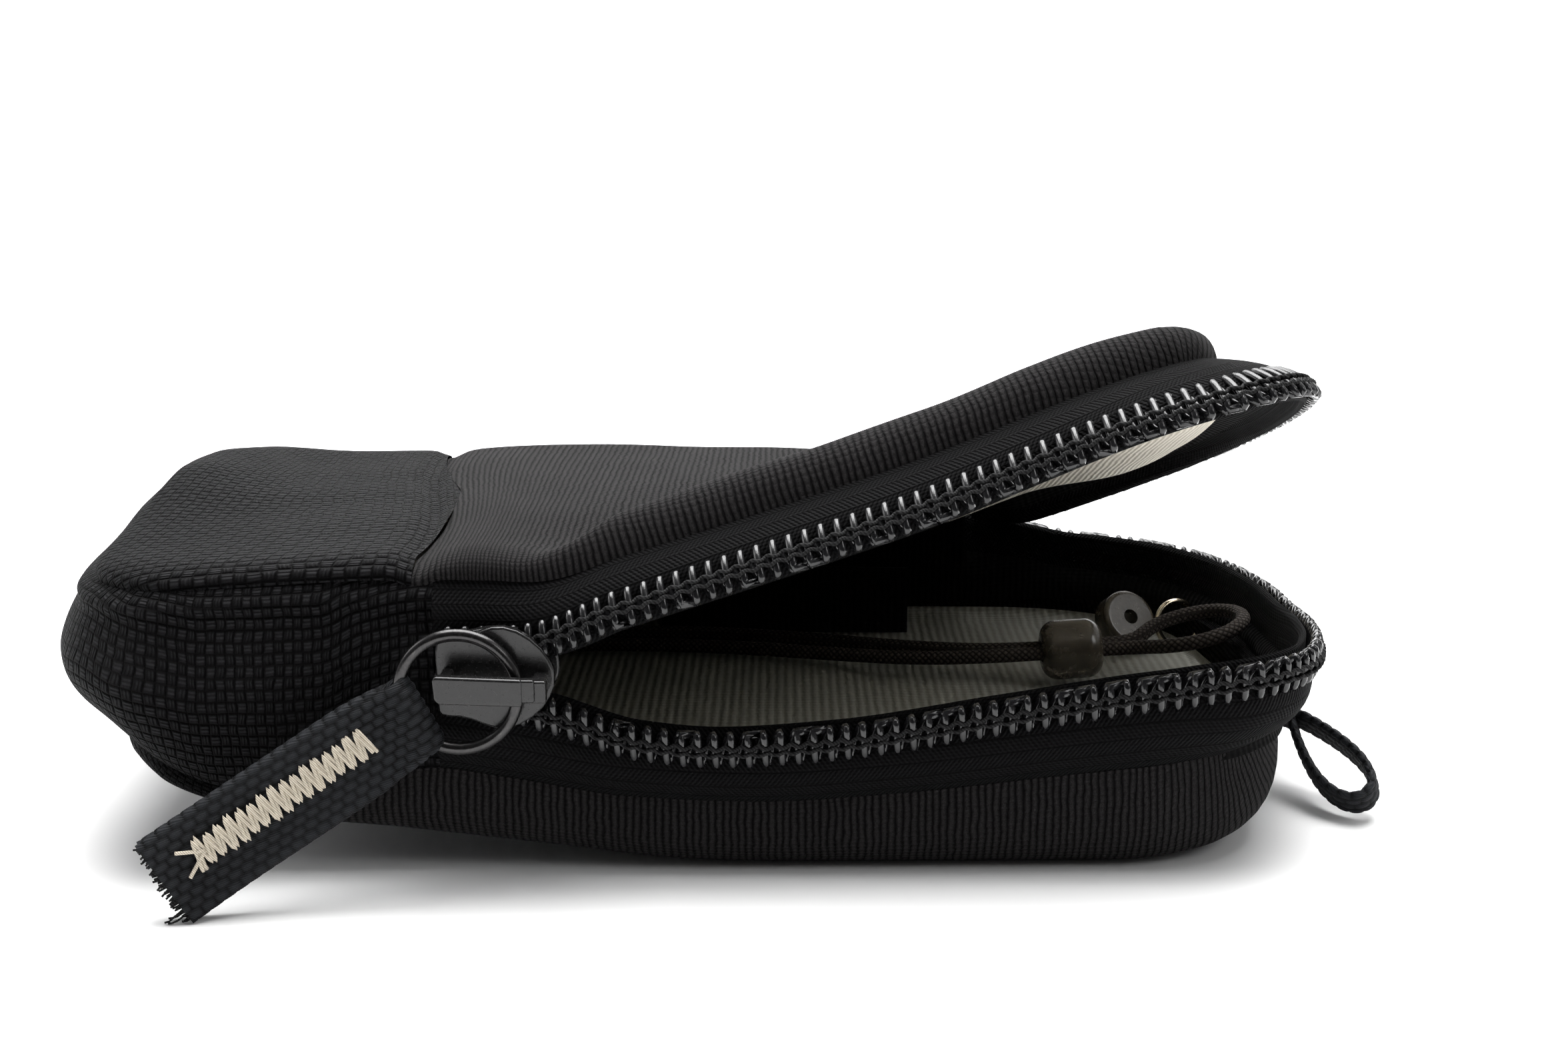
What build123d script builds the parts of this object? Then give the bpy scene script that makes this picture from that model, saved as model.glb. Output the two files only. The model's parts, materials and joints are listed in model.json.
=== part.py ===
"""Soft padded zip pouch, built from its sewn panels, zip and fittings.

Millimetres, +X along the pouch from its closed end to its rounded mouth, +Y to the back, +Z up.
The origin is the middle of the footprint, on the surface that the pouch lies on.
The lid is drawn shut, on lid_plane, which is tipped open about the slanting fold.
"""
import math
import os

from build123d import *

# Overall sizes
length = 161.0
width = 90.0
panel_top = 39.0
left_radius = 16.0
right_radius = 32.0

# Layers
base_height = 9.0
cover = 1.2
lining = 0.6
panel_foam = 1.5
tape = 0.8
wall_foam = 1.6
layer_gap = 0.1
body_gap = 0.35

# Toe: the closed end's underside curls up off the floor
toe_length = 30.5
toe_start = toe_length - length / 2
toe_radius = 36.0

# Seams, along X
cross_seam = 34.5 - length / 2
zip_seam = 46.5 - length / 2

# Zip
zip_height = 26.5
zip_half_gap = 0.3
coil_height = 5.0
coil_depth = 2.2
dip_start = -28.0
dip_middle = 4.0
dip_end = length / 2 - 20.5
lowest_rim = 19.0
base_dip = zip_height - lowest_rim
lid_dip = 1.0
lid_zip_start = -12.0
lid_zip_margin = 5.0
stop_length = 3.0

# Fold that the lid turns on, from the front edge to the back edge
fold_front = -26.0
fold_back = length / 2 - 25.5
lid_open = 25.0

# Slider, ring and pull
slider_middle = -26.0
slider_length = 13.6
slider_height = 12.4
wing = 1.3
bridge_length = 11.6
bridge_height = 3.0
bridge_depth = 1.4
bridge_room = 3.8
bridge_shift = 0.4
bridge_lift = 0.6
wing_rounding = 1.2
post_length = 1.5
post_height = 1.5
post_inset = 0.8
ring_radius = 7.0
ring_wire = 1.5
ring_behind = 4.4
ring_drop = 1.3
pull_length = 36.0
pull_width = 11.0
pull_layer = 1.4
pull_slope = (-27.2, -7.6, -14.6)
neck_width = 5.5
neck_length = 6.0
fold_slack = 1.3
bartack_length = 25.0
bartack_width = 3.6
bartack_thickness = 0.4
bartack_start = 1.5

# Inside fittings
cord_diameter = 2.1
cord_end_gap = 7.0
anchor_length = 7.0
anchor_width = 13.0
anchor_middle = -34.0
anchor_line = width / 2 - 21.0
bead_diameter = 8.8
bead_length = 9.0
bead_rounding = 2.4
bead_spread = 1.35
bead_middle = (50.5, width / 2 - 40.0, base_height + 5.3)
bead_slope = (20.0, 0.0, 1.4)
disc_diameter = 9.0
disc_thickness = 4.0
disc_hole = 2.4
disc_rounding = 0.8
disc_middle = (61.5, width / 2 - 23.0, base_height + 4.9)
disc_facing = (0.35, -0.75, 0.55)
small_ring_radius = 3.6
small_ring_wire = 1.0
small_ring_middle = (70.0, width / 2 - 22.5, base_height + 4.2)
small_ring_facing = (0.3, -0.9, 0.3)
divider_length = 40.0
divider_height = 11.0
divider_thickness = 1.0
divider_end = 28.0
divider_line = width / 2 - 13.0

# Hanging loop
loop_length = 17.0
loop_height = 9.0
loop_band = 4.0
loop_thickness = 1.3
loop_standoff = 2.8
loop_line = right_radius - width / 2 - 2.5
loop_lift = 0.4
loop_slope = (0.34, -0.86, -0.37)
loop_facing = (-0.366, -0.485, 0.791)

os.makedirs("parts", exist_ok=True)

left_end = -length / 2
right_end = length / 2
half_width = width / 2
lining_level = panel_top - cover - panel_foam - lining
front_face = -half_width
far = length

# The fold and the tipped plane of the lid
fold_point = Vector(fold_front, -half_width, panel_top)
fold_end = Vector(fold_back, half_width, panel_top)
fold_direction = (fold_point - fold_end).normalized()
fold_axis = Axis((0, 0, 0), fold_direction)
lid_plane = Plane(
    origin=fold_point - fold_point.rotate(fold_axis, lid_open),
    x_dir=Vector(1, 0, 0).rotate(fold_axis, lid_open),
    z_dir=Vector(0, 0, 1).rotate(fold_axis, lid_open),
)
lid_side = Plane(origin=lid_plane.origin, x_dir=lid_plane.x_dir, z_dir=-lid_plane.y_dir)


def save(piece, name):
    """Labels a finished piece and writes its STEP file."""
    piece.part.label = name
    export_step(piece.part, f"parts/{name}.step")


def outline(inset):
    """Draws the plan outline, set in, in the open sketch."""
    with BuildSketch(mode=Mode.PRIVATE) as plan:
        Rectangle(length - 2 * inset, width - 2 * inset)
        fillet(plan.vertices().group_by(Axis.X)[-1], right_radius - inset)
        fillet(plan.vertices().group_by(Axis.X)[0], left_radius - inset)
    add(plan.sketch)


def wall(outer, thickness):
    """Draws a wall that follows the plan outline in the open sketch."""
    outline(outer)
    with BuildSketch(mode=Mode.PRIVATE) as hole:
        outline(outer + thickness)
    add(hole.sketch, mode=Mode.SUBTRACT)


def keep(points):
    """Keeps only what of the open sketch lies inside the points."""
    with BuildLine() as edge:
        Polyline(*points, close=True)
    make_face(edge.line, mode=Mode.INTERSECT)


def keep_between(start, end):
    """Keeps only what of the open sketch lies between two places along X."""
    keep([(start, -far), (end, -far), (end, far), (start, far)])


def keep_front(start, end):
    """Keeps the front part between two places along X."""
    keep([(start, -far), (end, -far), (end, 0), (start, 0)])


def keep_mouth(front, back):
    """Keeps the part round the mouth, from one place on the front to one on the back."""
    keep([(front, -far), (far, -far), (far, far), (back, far), (back, 0), (front, 0)])


def keep_closed_end(front, back):
    """Keeps the part round the closed end, from one place on the front to one on the back."""
    keep([(front, -far), (-far, -far), (-far, far), (back, far), (back, 0), (front, 0)])


def fold_edge(y, gap):
    """Gives a point of the fold line at y, moved sideways by gap."""
    share = (y + half_width) / width
    return (fold_front + (fold_back - fold_front) * share + gap, y)


def keep_lid_side():
    """Keeps what lies on the lid's side of the fold."""
    reach = half_width + coil_depth
    keep([fold_edge(-reach, body_gap), (far, -reach), (far, reach), fold_edge(reach, body_gap)])


def keep_fixed_side(start):
    """Keeps what lies on the fixed side of the fold, to the right of start."""
    reach = half_width + coil_depth
    keep([(start, -reach), fold_edge(-reach, -body_gap), fold_edge(reach, -body_gap), (start, reach)])


def zip_line(height, dip):
    """Draws a line at a height beside the zip line, with its dip, and gives its ends."""
    Line((-far, height), (dip_start, height))
    Spline(
        (dip_start, height),
        (dip_middle, height - dip),
        (dip_end, height),
        tangents=((1, 0), (1, 0), (1, 0)),
    )
    Line((dip_end, height), (far, height))


def zip_band(side_plane, low, low_dip, high, high_dip):
    """Keeps the band between two heights beside the zip line."""
    with BuildSketch(side_plane) as band:
        with BuildLine():
            zip_line(low, low_dip)
            Line((far, low), (far, high))
            zip_line(high, high_dip)
            Line((-far, high), (-far, low))
        make_face()
    extrude(band.sketch, amount=far, both=True, mode=Mode.INTERSECT)


def keep_above_toe(lift):
    """Cuts off what lies below the curled-up underside, which is raised by lift."""
    run = -left_end - 0.5 + toe_start
    rise = toe_radius - math.sqrt(toe_radius**2 - run**2)
    with BuildSketch(Plane.XZ) as side:
        with BuildLine():
            Line((far, lift), (toe_start, lift))
            RadiusArc((toe_start, lift), (toe_start - run, rise + lift), toe_radius)
            Polyline(
                (toe_start - run, rise + lift),
                (-far, rise + lift + 8),
                (-far, far),
                (far, far),
                (far, lift),
            )
        make_face()
    extrude(side.sketch, amount=far, both=True, mode=Mode.INTERSECT)


# Base: bottom panels
with BuildPart() as bottom_knit_panel:
    with BuildSketch():
        outline(layer_gap)
        keep_between(cross_seam, far)
    extrude(amount=base_height)
    with BuildSketch(Plane.XY.offset(cover)):
        outline(layer_gap + cover)
    extrude(amount=base_height, mode=Mode.SUBTRACT)
save(bottom_knit_panel, "bottom_knit_panel")

with BuildPart() as bottom_nylon_panel:
    with BuildSketch():
        outline(layer_gap)
        keep_between(-far, cross_seam)
    extrude(amount=base_height + toe_radius / 4)
    keep_above_toe(0)
    with BuildPart(mode=Mode.PRIVATE) as toe_room:
        with BuildSketch():
            outline(layer_gap + cover)
        extrude(amount=far)
        keep_above_toe(cover)
    add(toe_room.part, mode=Mode.SUBTRACT)
    with BuildSketch(Plane.XY.offset(base_height)):
        Rectangle(far * 3, far * 2)
    extrude(amount=far, mode=Mode.SUBTRACT)
save(bottom_nylon_panel, "bottom_nylon_panel")

with BuildPart() as bottom_foam:
    with BuildSketch(Plane.XY.offset(cover + layer_gap)):
        outline(2 * layer_gap + cover)
    extrude(amount=base_height - cover - lining - 2 * layer_gap)
    keep_above_toe(cover + layer_gap)
save(bottom_foam, "bottom_foam")

with BuildPart() as bottom_lining:
    with BuildSketch(Plane.XY.offset(base_height - lining)):
        outline(2 * layer_gap + cover)
    extrude(amount=lining)
    keep_above_toe(cover + layer_gap)
save(bottom_lining, "bottom_lining")

# Base: walls
with BuildPart() as end_gusset:
    with BuildSketch(Plane.XY.offset(base_height)):
        wall(0, tape + wall_foam)
        keep_closed_end(zip_seam, fold_back)
    extrude(amount=lining_level - base_height)
    keep_above_toe(0)
save(end_gusset, "end_gusset")

with BuildPart() as lower_zip_tape:
    with BuildSketch(Plane.XY.offset(base_height)):
        wall(0, tape)
        keep_mouth(zip_seam, fold_back)
    extrude(amount=zip_height)
    zip_band(Plane.XZ, -far, 0, zip_height - zip_half_gap, base_dip)
save(lower_zip_tape, "lower_zip_tape")

with BuildPart() as lower_wall_foam:
    with BuildSketch(Plane.XY.offset(base_height)):
        wall(tape, wall_foam)
        keep_mouth(zip_seam, fold_back)
    extrude(amount=zip_height)
    zip_band(Plane.XZ, -far, 0, zip_height - slider_height / 2 - 2 * body_gap, base_dip)
save(lower_wall_foam, "lower_wall_foam")

with BuildPart() as lower_coil:
    with BuildSketch(Plane.XY.offset(base_height)):
        wall(-coil_depth, coil_depth)
        keep_mouth(zip_seam, fold_back)
    extrude(amount=zip_height)
    low = zip_height - zip_half_gap - coil_height
    zip_band(Plane.XZ, low, base_dip, zip_height - zip_half_gap, base_dip)
save(lower_coil, "lower_coil")

with BuildPart() as upper_tape_fixed:
    with BuildSketch(Plane.XY.offset(zip_height + zip_half_gap)):
        wall(0, tape)
        keep_front(zip_seam, fold_front - body_gap)
    extrude(amount=lining_level - zip_height - zip_half_gap)
save(upper_tape_fixed, "upper_tape_fixed")

with BuildPart() as upper_coil_fixed:
    with BuildSketch(Plane.XY.offset(zip_height + zip_half_gap)):
        wall(-coil_depth, coil_depth)
        keep_front(zip_seam, fold_front - body_gap)
    extrude(amount=coil_height)
save(upper_coil_fixed, "upper_coil_fixed")

with BuildPart() as zip_back_stop:
    with BuildSketch(Plane.XY.offset(zip_height - coil_height)):
        with Locations((fold_back - stop_length / 2, half_width + coil_depth / 2)):
            Rectangle(stop_length, coil_depth)
    extrude(amount=2 * coil_height)
save(zip_back_stop, "zip_back_stop")

# Base: the fixed part of the top
with BuildPart() as top_nylon_panel:
    with BuildSketch(Plane.XY.offset(panel_top - cover)):
        outline(0)
        keep_between(-far, cross_seam)
    extrude(amount=cover)
save(top_nylon_panel, "top_nylon_panel")

with BuildPart() as top_knit_fixed:
    with BuildSketch(Plane.XY.offset(panel_top - cover)):
        outline(0)
        keep_fixed_side(cross_seam)
    extrude(amount=cover)
save(top_knit_fixed, "top_knit_fixed")

with BuildPart() as top_foam:
    with BuildSketch(Plane.XY.offset(lining_level + lining)):
        outline(layer_gap)
        keep_fixed_side(-far)
    extrude(amount=panel_foam)
save(top_foam, "top_foam")

with BuildPart() as top_lining:
    with BuildSketch(Plane.XY.offset(lining_level)):
        outline(layer_gap)
        keep_fixed_side(-far)
    extrude(amount=lining)
save(top_lining, "top_lining")

# Base: inside fittings
with BuildPart() as divider:
    with BuildSketch(Plane.XY.offset(base_height)):
        with Locations((divider_end - divider_length / 2, divider_line)):
            Rectangle(divider_length, divider_thickness)
    extrude(amount=divider_height)
save(divider, "divider")

cord_level = base_height + cord_diameter / 2 + body_gap
with BuildPart() as cord_anchor:
    with BuildSketch(Plane.XY.offset(base_height)):
        with Locations((anchor_middle, anchor_line)):
            Rectangle(anchor_length, anchor_width)
    extrude(amount=cord_diameter + 2 * body_gap)
save(cord_anchor, "cord_anchor")

# Tether cord: two strands side by side through the bead, and a loop past it
cord_start = anchor_middle + anchor_length / 2 + 0.1
bead_line = bead_middle[1]
cord_points = [
    (cord_start, anchor_line + cord_end_gap / 2, cord_level),
    (-16.0, bead_line + 23.0, cord_level + 0.1),
    (1.0, bead_line + 20.5, cord_level + 0.3),
    (15.5, bead_line + 15.5, cord_level + 0.7),
    (28.5, bead_line + 7.5, cord_level + 1.8),
    (40.5, bead_line + bead_spread, cord_level + 3.2),
    (60.0, bead_line + bead_spread, cord_level + 4.57),
    (64.0, bead_line + 6.2, cord_level + 6.0),
    (69.8, bead_line + 7.6, cord_level + 7.4),
    (74.2, bead_line + 4.9, cord_level + 8.6),
    (75.9, bead_line - 0.2, cord_level + 9.2),
    (74.2, bead_line - 5.3, cord_level + 9.0),
    (69.8, bead_line - 8.0, cord_level + 7.8),
    (64.2, bead_line - 6.6, cord_level + 6.2),
    (60.0, bead_line - bead_spread, cord_level + 4.57),
    (40.5, bead_line - bead_spread, cord_level + 3.2),
    (28.0, bead_line + 2.5, cord_level + 1.6),
    (14.5, bead_line + 9.0, cord_level + 0.5),
    (0.0, bead_line + 13.5, cord_level + 0.2),
    (-16.0, bead_line + 15.5, cord_level + 0.1),
    (cord_start, anchor_line - cord_end_gap / 2, cord_level),
]


def bend_radii(points):
    """Gives the largest arc for each turn of a route: 0.45 of its shorter run over tan(half turn)."""
    radii = []
    for before, here, after in zip(points, points[1:], points[2:]):
        first = Vector(here) - Vector(before)
        second = Vector(after) - Vector(here)
        half_turn = math.radians(first.get_angle(second)) / 2
        radii.append(0.45 * min(first.length, second.length) / math.tan(half_turn))
    return radii


cord_radii = bend_radii(cord_points)
print("cord radii", [round(radius, 1) for radius in cord_radii])

with BuildPart() as tether_cord:
    with BuildLine() as cord_route:
        FilletPolyline(*cord_points, radius=cord_radii)
    with BuildSketch(Plane(cord_route.line @ 0, z_dir=cord_route.line % 0)):
        Circle(cord_diameter / 2)
    sweep(path=cord_route.line)
cord_section = math.pi * cord_diameter**2 / 4
cord_length = cord_route.wires()[0].length
print("cord length", round(cord_length, 1))
print("cord volume ratio", round(tether_cord.part.volume / (cord_section * cord_length), 4))
save(tether_cord, "tether_cord")

bead_plane = Plane(origin=bead_middle, x_dir=(0, 1, 0), z_dir=bead_slope)
with BuildPart() as cord_bead:
    with BuildSketch(bead_plane.offset(-bead_length / 2)):
        Circle(bead_diameter / 2)
    extrude(amount=bead_length)
    fillet(cord_bead.edges().filter_by(GeomType.CIRCLE), bead_rounding)
    with BuildSketch(bead_plane.offset(-bead_length)):
        SlotCenterToCenter(2 * bead_spread, cord_diameter + 2 * body_gap)
    extrude(amount=2 * bead_length, mode=Mode.SUBTRACT)
save(cord_bead, "cord_bead")

disc_plane = Plane(origin=disc_middle, z_dir=disc_facing)
with BuildPart() as cord_disc:
    with BuildSketch(disc_plane):
        Circle(disc_diameter / 2)
        Circle(disc_hole / 2, mode=Mode.SUBTRACT)
    extrude(amount=disc_thickness / 2, both=True)
    fillet(cord_disc.faces().sort_by(Axis.Z)[-1].outer_wire().edges(), disc_rounding)
save(cord_disc, "cord_disc")

small_ring_plane = Plane(origin=small_ring_middle, z_dir=small_ring_facing)
wire_middle = small_ring_plane.origin + small_ring_plane.x_dir * small_ring_radius
with BuildPart() as small_ring:
    with BuildSketch(Plane(wire_middle, small_ring_plane.x_dir, small_ring_plane.y_dir)):
        Circle(small_ring_wire / 2)
    revolve(axis=Axis(small_ring_plane.origin, small_ring_plane.z_dir), revolution_arc=360)
save(small_ring, "small_ring")

# Lid, drawn shut on lid_plane
with BuildPart() as lid_knit_panel:
    with BuildSketch(lid_plane.offset(panel_top - cover)):
        outline(0)
        keep_lid_side()
    extrude(amount=cover)
save(lid_knit_panel, "lid_knit_panel")

with BuildPart() as lid_foam:
    with BuildSketch(lid_plane.offset(lining_level + lining)):
        outline(layer_gap)
        keep_lid_side()
    extrude(amount=panel_foam)
save(lid_foam, "lid_foam")

with BuildPart() as lid_lining:
    with BuildSketch(lid_plane.offset(lining_level)):
        outline(layer_gap)
        keep_lid_side()
    extrude(amount=lining)
save(lid_lining, "lid_lining")

lid_back_start = fold_back + lid_zip_margin
with BuildPart() as upper_zip_tape:
    with BuildSketch(lid_plane):
        wall(0, tape)
        keep_mouth(lid_zip_start, lid_back_start)
    extrude(amount=lining_level)
    zip_band(lid_side, zip_height + zip_half_gap, lid_dip, far, 0)
save(upper_zip_tape, "upper_zip_tape")

with BuildPart() as upper_wall_foam:
    with BuildSketch(lid_plane):
        wall(tape, wall_foam)
        keep_mouth(lid_zip_start, lid_back_start)
    extrude(amount=lining_level)
    zip_band(lid_side, zip_height + slider_height / 2 + body_gap, lid_dip, far, 0)
save(upper_wall_foam, "upper_wall_foam")

with BuildPart() as upper_coil:
    with BuildSketch(lid_plane):
        wall(-coil_depth, coil_depth)
        keep_mouth(lid_zip_start, lid_back_start)
    extrude(amount=lining_level + coil_height)
    high = zip_height + zip_half_gap + coil_height
    zip_band(lid_side, zip_height + zip_half_gap, lid_dip, high, lid_dip)
save(upper_coil, "upper_coil")

# Slider: two wings either side of the chain, joined by the post in the fork
outer_wing_face = front_face - coil_depth - body_gap
inner_wing_face = front_face + tape + body_gap
slider_nose = slider_middle + slider_length / 2
slider_tail = slider_middle - slider_length / 2


def wing_shape(size_x, size_z):
    """Draws a slider wing: a shield that narrows to its tail, in the open sketch."""
    with BuildLine() as shield:
        Polyline(
            (slider_tail, zip_height - size_z / 4),
            (slider_middle - size_x / 12, zip_height - size_z / 2),
            (slider_nose - size_x / 4, zip_height - size_z / 2.6),
            (slider_nose, zip_height),
            (slider_nose - size_x / 4, zip_height + size_z / 2.6),
            (slider_middle - size_x / 12, zip_height + size_z / 2),
            (slider_tail, zip_height + size_z / 4),
            close=True,
        )
    make_face(shield.line)


with BuildPart() as slider_body:
    with BuildSketch(Plane.XZ.offset(-outer_wing_face)) as outer_wing:
        wing_shape(slider_length, slider_height)
        fillet(outer_wing.vertices(), wing_rounding)
    extrude(amount=wing)
    with BuildSketch(Plane.XZ.offset(-inner_wing_face)) as inner_wing:
        wing_shape(slider_length, slider_height)
        fillet(inner_wing.vertices(), wing_rounding)
    extrude(amount=-wing)
    with BuildSketch(Plane.XZ.offset(-inner_wing_face)):
        with Locations((slider_nose - post_inset - post_length / 2, zip_height)):
            Rectangle(post_length, post_height)
    extrude(amount=inner_wing_face - outer_wing_face)
save(slider_body, "slider_body")

wing_front = outer_wing_face - wing
bridge_face = wing_front - bridge_room
bridge_middle = zip_height + bridge_lift
with BuildPart() as slider_bridge:
    with BuildSketch(Plane.XY.offset(bridge_middle)):
        with Locations((slider_middle - bridge_shift, (wing_front + bridge_face - bridge_depth) / 2)):
            Rectangle(bridge_length, bridge_room + bridge_depth)
        with Locations((slider_middle - bridge_shift, wing_front - bridge_room / 2)):
            Rectangle(bridge_length - 2 * bridge_depth, bridge_room, mode=Mode.SUBTRACT)
    extrude(amount=bridge_height / 2, both=True)
    fillet(slider_bridge.faces().sort_by(Axis.Y)[0].edges(), 0.5)
save(slider_bridge, "slider_bridge")

# Ring, in the room behind the bridge
ring_line = wing_front - ring_wire / 2 - 1.5 * body_gap
ring_middle = Vector(slider_middle - ring_behind, ring_line, zip_height - ring_drop)
with BuildPart() as pull_ring:
    with BuildSketch(Plane.XY.offset(ring_middle.Z)):
        with Locations((ring_middle.X + ring_radius, ring_line)):
            Circle(ring_wire / 2)
    revolve(axis=Axis(ring_middle, (0, 1, 0)), revolution_arc=360)
save(pull_ring, "pull_ring")

# Pull: webbing folded round the ring, running down to the floor
pull_run = Vector(*pull_slope).normalized()
neck_sag = ring_radius - math.sqrt(ring_radius**2 - neck_width**2 / 4)
ring_to_grip = Vector(pull_run.X, 0, pull_run.Z).normalized() * (ring_radius - neck_sag / 2)
grip_point = ring_middle + ring_to_grip
pull_across = pull_run.cross(Vector(0, -1, 0)).normalized()
pull_plane = Plane(origin=grip_point, x_dir=pull_run, z_dir=pull_across.cross(pull_run) * -1)
fold_diameter = 2 * pull_layer + ring_wire + fold_slack
with BuildPart() as pull_webbing:
    with BuildSketch(pull_plane):
        with Locations((neck_length, 0)):
            Rectangle(pull_length - neck_length, pull_width, align=(Align.MIN, Align.CENTER))
        Rectangle(neck_length + 1, neck_width, align=(Align.MIN, Align.CENTER))
    extrude(amount=pull_layer, both=True)
    with BuildSketch(Plane(origin=grip_point, x_dir=pull_run, z_dir=pull_plane.y_dir)):
        Circle(fold_diameter / 2)
    extrude(amount=neck_width / 2, both=True)
    with BuildSketch(Plane(origin=grip_point, x_dir=pull_run, z_dir=pull_plane.y_dir)):
        Circle(fold_diameter / 2 - pull_layer)
    extrude(amount=neck_width, both=True, mode=Mode.SUBTRACT)
save(pull_webbing, "pull_webbing")

with BuildPart() as pull_bartack:
    with BuildSketch(pull_plane.offset(pull_layer)):
        with Locations((neck_length + bartack_start + bartack_length / 2, 0)):
            Rectangle(bartack_length, bartack_width)
    extrude(amount=bartack_thickness)
save(pull_bartack, "pull_bartack")

# Hanging loop at the mouth's right end
loop_root = Vector(right_end + loop_standoff, loop_line, base_height + loop_lift)
loop_plane = Plane(origin=loop_root, x_dir=loop_slope, z_dir=loop_facing)
with BuildPart() as hang_loop:
    with BuildSketch(loop_plane):
        with Locations((loop_length / 2, 0)):
            SlotOverall(loop_length, loop_height)
            SlotOverall(
                loop_length - 2 * loop_thickness, loop_height - 2 * loop_thickness, mode=Mode.SUBTRACT
            )
    extrude(amount=loop_band / 2, both=True)
save(hang_loop, "hang_loop")

print("fold", fold_point, fold_direction)
print("grip", grip_point, "pull across", pull_plane.y_dir)
print("loop root", loop_root, "middle", loop_root + loop_plane.x_dir * loop_length / 2)
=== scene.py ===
"""The looks of the padded zip pouch: sewn panels, zip chain, slider, webbing and cord.

Shapes are worked out in millimetres with the lid shut, then the lid side is peeled open, as the
fabric bends, and every piece is written in metres. Each vertex keeps its place on the flat cloth in
the attribute "cloth", in millimetres, so that weaves and ribs follow the fabric.
"""

import json
import math
from functools import partial

import bmesh
import bpy
import numpy as np
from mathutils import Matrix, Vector, noise


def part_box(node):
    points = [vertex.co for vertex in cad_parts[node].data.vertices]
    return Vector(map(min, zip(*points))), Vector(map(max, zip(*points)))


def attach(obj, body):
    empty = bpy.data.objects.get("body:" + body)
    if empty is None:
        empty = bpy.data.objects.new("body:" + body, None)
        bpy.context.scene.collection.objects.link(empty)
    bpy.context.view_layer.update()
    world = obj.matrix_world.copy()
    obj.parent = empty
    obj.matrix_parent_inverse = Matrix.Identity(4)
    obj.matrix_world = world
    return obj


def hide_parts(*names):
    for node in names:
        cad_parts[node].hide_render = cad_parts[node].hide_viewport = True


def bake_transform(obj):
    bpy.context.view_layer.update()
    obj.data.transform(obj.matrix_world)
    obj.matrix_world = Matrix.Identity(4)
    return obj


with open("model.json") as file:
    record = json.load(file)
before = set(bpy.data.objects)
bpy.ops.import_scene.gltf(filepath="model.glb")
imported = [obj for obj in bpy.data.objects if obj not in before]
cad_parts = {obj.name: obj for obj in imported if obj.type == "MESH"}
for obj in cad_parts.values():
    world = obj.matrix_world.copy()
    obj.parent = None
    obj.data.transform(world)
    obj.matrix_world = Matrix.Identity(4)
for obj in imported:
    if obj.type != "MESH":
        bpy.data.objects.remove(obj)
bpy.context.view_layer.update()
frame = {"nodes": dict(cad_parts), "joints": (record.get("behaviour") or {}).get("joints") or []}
MM = 0.001

# ---------------------------------------------------------------- sizes, from the frame


def node_box(node):
    """The low and high corners of a CAD node's box, in mm."""
    return [np.array(place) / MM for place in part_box(node)]


def corner(node, high, axis):
    """One coordinate of a CAD node's box, in mm."""
    return node_box(node)[high][axis]


def unit(vectors):
    """Vectors at length 1."""
    return vectors / np.linalg.norm(vectors, axis=-1, keepdims=True)


def run_along(path):
    """Distance along a path of points, from 0."""
    return np.concatenate([[0], np.cumsum(np.linalg.norm(np.diff(path, axis=0), axis=1))])


half_width = corner("end_gusset", 1, 1)
cross_seam = corner("top_nylon_panel", 1, 0)
zip_seam = corner("upper_tape_fixed", 0, 0)
coil_height = 5.0
coil_depth = 2.2
zip_back = 38.0

# The plan outline at the seams, anticlockwise from the front's left corner
outline_points = [
    (-64, -half_width), (-40, -half_width), (-10, -half_width), (20, -half_width), (45, -half_width),
    (57, -44.8), (65, -43.3), (71.4, -37.8), (75.4, -28.6), (77.5, -18), (78.5, -8), (78.7, 5),
    (77.6, 14), (75.6, 22), (72, 29.5), (66.5, 35.9), (59, 41), (50, 44), (38, half_width),
    (10, half_width), (-20, half_width), (-45, half_width), (-68, half_width), (-76, 43.2),
    (-80.2, 38.0), (-81.5, 29), (-81.5, 10), (-81, -10), (-80, -29), (-77, -38.3), (-71, -43.7),
]

# Heights round the outline as the cloth lies at rest: place on the outline, then height
lower_rim_heights = [
    (-80, 0, 26.7), (-34, -45, 26.7), (-20, -45, 23.4), (-9, -45, 19.9), (0, -45, 19.1), (14, -45, 20.0),
    (34, -45, 23.2), (53, -45, 26.2), (66, -43, 27.4), (77, -20, 25.6), (78.7, 0, 23.8), (72, 30, 23.7),
    (57, 42, 23.6), (46, 44.5, 25.2), (32, 45, 26.7),
]
upper_rim_heights = [
    (-80, 0, 27.3), (-34, -45, 27.3), (-20, -45, 27.5), (20, -45, 28.4), (58, -45, 31.2), (78.7, 5, 29.4),
    (59, 41, 27.6), (46, 44.5, 27.3), (32, 45, 27.3),
]
low_seam_heights = [
    (-81, 0, 17), (-76, -39, 16.6), (-69, -44, 13.4), (-61, -45, 10.8), (-48, -45, 10.2), (-43, -45, 12.0),
    (-35, -45, 13.6), (-26, -45, 12.4), (-11, -45, 9.9), (5, -45, 9.2), (21, -45, 10.2), (44, -45, 12.8),
    (60, -44.6, 14.4), (70, -39, 15.2), (78.7, 0, 15.2), (60, 41, 13.6), (20, 45, 10.5),
    (-35, 45, 11.5), (-61, 45, 12.0), (-78, 41, 16),
]
top_seam_heights = [
    (-80.5, -20, 36.3), (-81, -10, 37.4), (-81.4, 0, 39.0), (-81.4, 10, 39.9), (-81.4, 25, 39.2),
    (-78, 41, 36.8), (-76, -41, 35.6), (-46, -45, 37.6), (-30, -45, 37.4), (-14, -45, 36.4),
    (20, -45, 37.0), (58, -45, 39.6),
    (78.7, 5, 38.0), (59, 41, 36.0), (30, 45, 34.6), (-20, 45, 35.6), (-60, 45, 35.2),
]
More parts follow.
